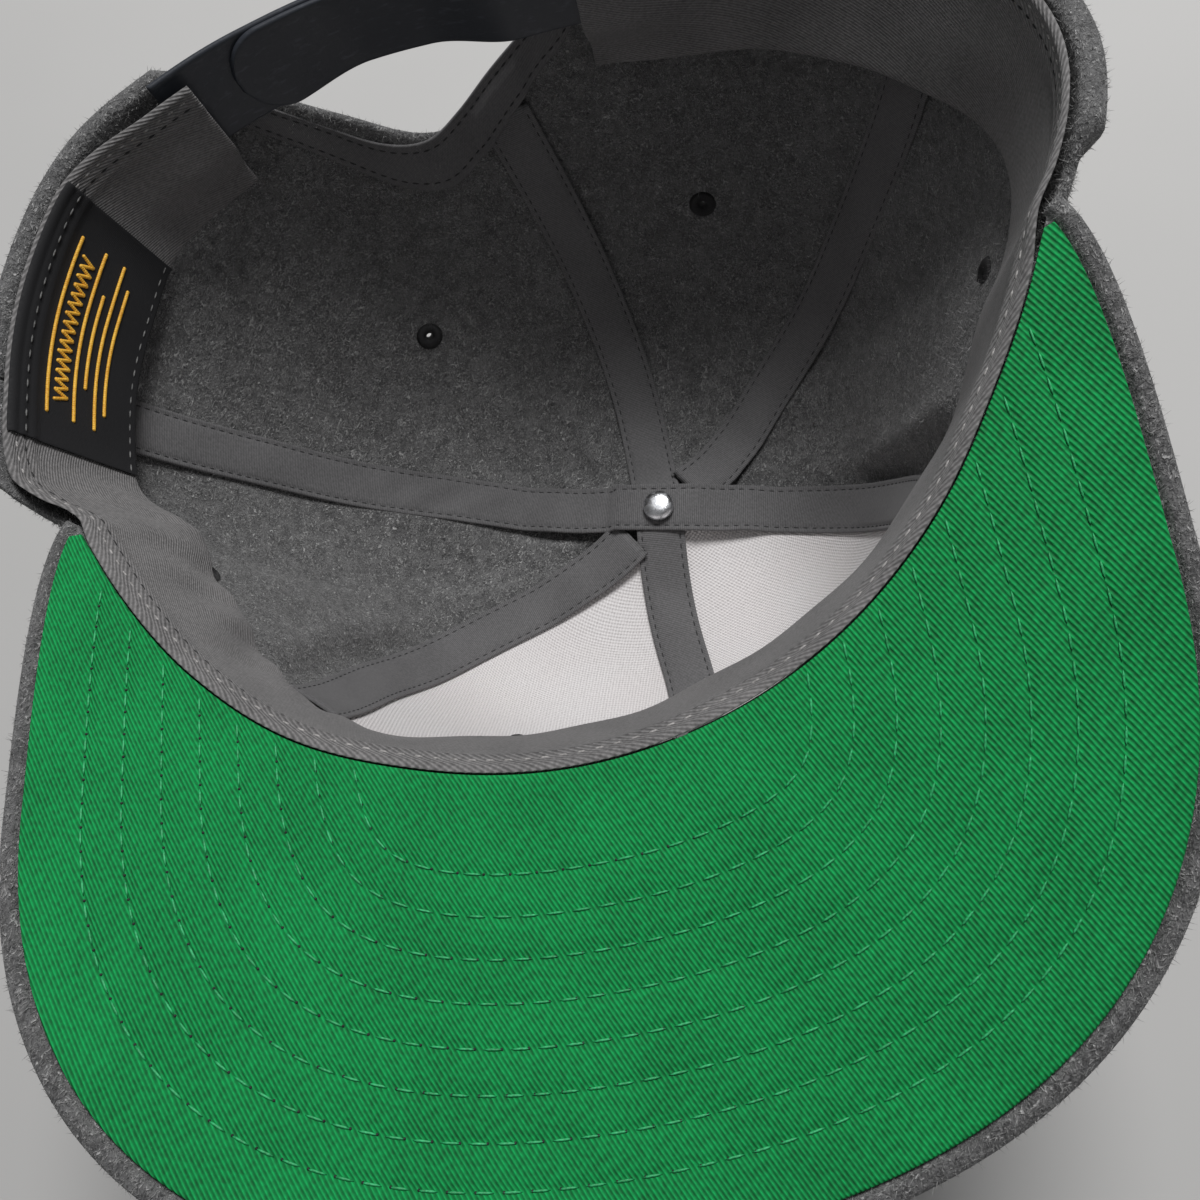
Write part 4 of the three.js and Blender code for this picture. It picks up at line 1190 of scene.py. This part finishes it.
def build_wool_brim():
    """Wool cover with its hidden insert: flat under the green cloth, rolled over the outer edge."""
    recess = under_brim_thickness + 0.15
    t, full_t = stations(2 * brim_run, 1.2, 1.2, 260)
    t = t / brim_run - 1
    inner = np.linspace(0, 1, 40)
    turn = np.radians(np.linspace(0, 90, 9))
    half = brim_thickness / 2
    across = np.concatenate([inner, [1, 1], np.ones(len(turn))])
    rolled = 0.1 + (brim_edge - 0.1) * np.sin(turn)
    beyond = np.concatenate([np.full(len(inner), -0.8), [-0.55, -0.2], rolled])
    upper = -half + half * np.cos(turn)
    top = np.concatenate([np.full(len(inner), -recess), [-recess * 0.75, -0.12], upper])
    low = np.concatenate([np.full(len(inner) + 2, -brim_thickness), -half - half * np.cos(turn)])
    middle = (top + low) / 2
    full = np.ones(len(across))
    full[:3] = (0, 0.7, 1)
    full = full[:, None] * full_t
    grid_t = t[None, :] + np.zeros((len(across), 1))
    grid_across = across[:, None] + np.zeros_like(grid_t)
    grid_beyond = beyond[:, None] + np.zeros_like(grid_t)
    start = np.full_like(grid_t, cloth_gap / 2)
    near, far = (
        brim_point(grid_t, grid_across, start, grid_beyond,
                   middle[:, None] + (face - middle)[:, None] * full)
        for face in (top, low))
    piece = shell("wool_brim", near, far, near[..., :2], wool)
    return finished(piece, "wool", "brim")


# Arch binding and straps
def build_binding():
    span = np.linspace(arch_azimuth["right"] + 2, arch_azimuth["left"] - 2, 60)
    length = path_length(crown_at(span, along(ARCH, "azimuth", "depth", span), 0 * span))
    across, full_across = stations(length, 0.4, 0.4, 110)
    down, full_down = stations(binding_width, 0.4, 0.4, 15)
    azimuth = mix(span[0], span[-1], across / length)[None, :] + np.zeros((len(down), 1))
    fall = down[:, None] + np.zeros_like(azimuth)
    way = along(ARCH, "azimuth", "depth", azimuth) + way_at_depth(azimuth, fall) + 0.001
    rows = dip(fall, seam_stitch_inset, 0.3) + dip(fall, binding_width - seam_stitch_inset, 0.3)
    half = (tape_thickness - 0.25 * rows) / 2
    full = full_down[:, None] * full_across
    off_tape = np.abs(azimuth - seam_azimuth("back_centre", 0.25))
    level = 0.25 + binding_rise * (1 - smoothstep(4, 7, off_tape)) * smoothstep(1, 4, fall)
    near = crown_at(azimuth, way, level + half * (1 + full))
    far = crown_at(azimuth, way, level + half * (1 - full))
    uv = np.stack([fall, across[None, :] + 0 * fall], -1)
    finished(shell("arch_binding_tape", near, far, uv, tape), "tape", "arch_binding")
    insets = (seam_stitch_inset, binding_width - seam_stitch_inset)
    lines = [near[np.abs(down - inset).argmin(), 4:-4] for inset in insets]
    stitches("binding_stitches", lines, "thread", dark_thread,
             seam_stitch_pitch, seam_float, thread_width)


strap_top = 1.8
strap_lean = 0.16 * strap_width
strap_bow = 1.6


def strap_point(azimuth, v, inward):
    top = crown_point(azimuth, 0)
    turn = np.radians(azimuth)
    right, left = arch_azimuth["right"], arch_azimuth["left"]
    free = smoothstep(right + 12, right + 26, azimuth) * (1 - smoothstep(left - 24, left - 10, azimuth))
    into = inward + strap_lean * v * (1 - free) - strap_bow * free
    return np.stack([
        top[..., 0] - into * np.cos(turn),
        top[..., 1] - into * np.sin(turn),
        top[..., 2] + strap_top - strap_width * v,
    ], -1)


def strap_shell(name, fixed, free, inward):
    """Strap half from one azimuth to another, with a round free end and a raised rim."""
    length = path_length(crown_point(np.linspace(fixed, free, 60), 0))
    run, full_run = stations(length, 0.5, 0.15, 120)
    down, full_down = stations(strap_width, 0.5, 0.5, 24)
    end = np.clip((run - (length - strap_width / 2)) / (strap_width / 2), 0, 1)
    narrow = 0.5 * (1 - np.sqrt(1 - np.minimum(end**2, 0.97)))
    v = mix(narrow[None, :], 1 - narrow[None, :], (down / strap_width)[:, None])
    azimuth = mix(fixed, free, run / length)[None, :] + np.zeros_like(v)
    border = np.minimum(down, strap_width - down)[:, None] + 0 * v
    rim = 0.22 * (1 - smoothstep(0.9, 1.5, border))
    half = (strap_thickness + rim) / 2
    full = full_down[:, None] * full_run
    near = strap_point(azimuth, v, inward + strap_thickness / 2 - half * full)
    far = strap_point(azimuth, v, inward + strap_thickness / 2 + half * full)
    uv = np.stack([run[None, :] + 0 * v, down[:, None] + 0 * v], -1)
    return shell(name, near, far, uv, plastic)


peg_middle = (arch_azimuth["left"] + arch_azimuth["right"]) / 2
peg_step = np.degrees(strap_hole_pitch / (0.85 * rim_reach))


def peg_places(inward):
    for i in range(peg_count):
        azimuth = peg_middle + (i - (peg_count - 1) / 2) * peg_step
        turn = np.radians(azimuth)
        yield strap_point(np.array(azimuth), 0.5, inward), (np.cos(turn), np.sin(turn), 0)


def join(name, things):
    bpy.ops.object.select_all(action="DESELECT")
    for thing in things:
        thing.select_set(True)
    bpy.context.view_layer.objects.active = things[0]
    bpy.ops.object.join()
    things[0].name = name
    return things[0]


def build_straps():
    """The holed half outside, cut by its holes, and the pegged half inside, joined to its pegs."""
    left, right = arch_azimuth["left"], arch_azimuth["right"]
    holed = strap_shell("strap_holed_half", left + 3, right + 6, strap_outer)
    profile = [(0, -3), (strap_hole_radius, -3), (strap_hole_radius, 3), (0, 3)]
    cutters = [
        lathe("hole", profile, point, axis, plastic, 28) for point, axis in peg_places(strap_outer)]
    holed = cut(holed, join("holes", cutters))
    finished(holed, "strap_plastic", "strap_holes")
    pegged = strap_shell("strap_pegged_half", right - 3, left - 6, strap_inner)
    r = peg_radius
    profile = [(0, -0.4), (r, -0.4), (r, 1.3), (r * 1.15, 1.6), (r * 1.05, 2.1), (r * 0.6, 2.35),
               (0, 2.4)]
    pegs = [lathe("peg", profile, point, axis, plastic, 24) for point, axis in peg_places(strap_inner)]
    finished(join("strap_pegged_half", [pegged, *pegs]), "strap_plastic", "strap_pegs")


# Rivet and top button
rivet_sunk = 0.3


def build_rivet():
    seat = rivet_low.z * 1000 - rivet_sunk
    rise = (rivet_high.z - rivet_low.z) * 1000 + rivet_sunk
    profile = [(0, 0), (0.95, 0), (1, 0.06), (1, 0.3), (0.97, 0.48), (0.91, 0.62), (0.82, 0.74),
               (0.66, 0.86), (0.48, 0.94), (0.25, 0.985), (0, 1)]
    piece = lathe("silver_rivet", [(r * rivet_radius, h * rise) for r, h in profile],
                  (button_x, button_y, seat), (0, 0, 1), silver, 72)
    finished(piece, "rivet_metal", "rivet")


def build_button():
    profile = [(0, 0), (0.55, 0), (0.78, 0.03), (0.9, 0.12), (0.97, 0.3), (1, 0.52), (0.97, 0.72),
               (0.9, 0.88), (0.78, 0.97), (0.5, 1), (0, 1)]
    piece = lathe("cloth_button", [(r * button_radius, h * button_height) for r, h in profile],
                  (button_x, button_y, 0), (0, 0, 1), wool, 72)
    finished(piece, "wool", "top_button")


def build_outer_stitches():
    """Two rows of stitches beside every seam, on the outside of the crown."""
    lines = []
    way = np.linspace(0.07, 0.9, 160)
    for seam in SEAM:
        azimuth = seam_azimuth(seam, way)
        start = panel_start(seam_azimuth(seam, np.array(0.0)))
        points = crown_at(azimuth, way, np.full_like(way, -wool_thickness - 0.12))
        normal = crown_normal(azimuth, way)
        side = np.cross(np.gradient(points, axis=0), normal)
        side /= np.linalg.norm(side, axis=-1, keepdims=True)
        keep = way > start + 0.03
        for offset in (-outer_stitch_offset, outer_stitch_offset):
            line = (points + side * offset)[keep]
            line[:, 2] = np.maximum(line[:, 2], 0.22)
            lines.append(line)
    stitches("outer_seam_stitches", lines, "thread", wool_thread,
             outer_stitch_pitch, outer_float, thread_width)


def grow_nap(piece, name, seed):
    """Loose fibres over a wool piece, as a piece of their own."""
    made = NAP.grow(
        linked(name + "_source", piece.data.copy()), name, wool_fibre, density=nap_density * 1e6,
        length=nap_length * 0.001, width=nap_width * 0.001, lean=nap_lean, seed=seed)
    return finished(made, "wool")


# The cap's pieces
wool_pieces = []
for crown_panel in PANELS:
    wool_pieces.append(wool_panel(crown_panel))
    eyelet(crown_panel)
    if crown_panel.get("lined"):
        buckram_panel(crown_panel)
build_tapes()
build_sweatband()
build_label()
wool_pieces.append(build_wool_brim())
build_under_brim()
build_brim_stitches()
build_binding()
build_straps()
build_rivet()
build_button()
build_outer_stitches()
for number, wool_piece in enumerate(wool_pieces):
    grow_nap(wool_piece, wool_piece.name.replace("wool_", "nap_"), number + 1)


# Stage, light and camera, in metres
floor_half = 3
floor_level = -0.0002
lit_height = 0.08

# The photo's camera, solved from the brim's outline and the seams; its point is in millimetres
camera_lens = 34.62
camera_point = (31.7, -131.9, 178.2 + crown_depth)
camera_right = (0.9659, -0.1773, -0.1887)
camera_up = (0.2243, 0.9370, 0.2679)
camera_back = (0.1293, -0.3011, 0.9448)


def build_floor():
    mesh = bpy.data.meshes.new("floor")
    corners = [(x * floor_half, y * floor_half, floor_level)
               for x, y in ((-1, -1), (1, -1), (1, 1), (-1, 1))]
    mesh.from_pydata(corners, [], [(0, 1, 2, 3)])
    mesh.materials.append(paper())
    floor = linked("floor", mesh)


def soft_light(name, toward, distance, size, power):
    light = bpy.data.lights.new(name, "AREA")
    light.shape = "DISK"
    light.size = size
    light.energy = power
    lamp = linked(name, light)
    direction = Vector(toward).normalized()
    lamp.location = direction * distance + Vector((0, 0, lit_height))
    lamp.rotation_euler = direction.to_track_quat("Z", "Y").to_euler()


def build_world(shade, strength):
    world = bpy.data.worlds.new("studio")
    world.use_nodes = True
    background = world.node_tree.nodes["Background"]
    background.inputs["Color"].default_value = (*shade, 1)
    background.inputs["Strength"].default_value = strength
    bpy.context.scene.world = world


def build_camera():
    camera = bpy.data.cameras.new("camera")
    camera.sensor_width = 36
    camera.lens = camera_lens
    camera.clip_start = 0.01
    eye = linked("camera", camera)
    turn = Matrix((camera_right, camera_up, camera_back)).transposed().to_4x4()
    eye.matrix_world = Matrix.Translation(Vector(place(camera_point))) @ turn
    bpy.context.scene.camera = eye


build_floor()
build_world(shade=(0.97, 0.98, 1.0), strength=0.17)
soft_light("key_light", toward=(0.36, 0.6, 1.08), distance=1.2, size=0.5, power=13)
bpy.context.scene.view_settings.view_transform = "Standard"
build_camera()
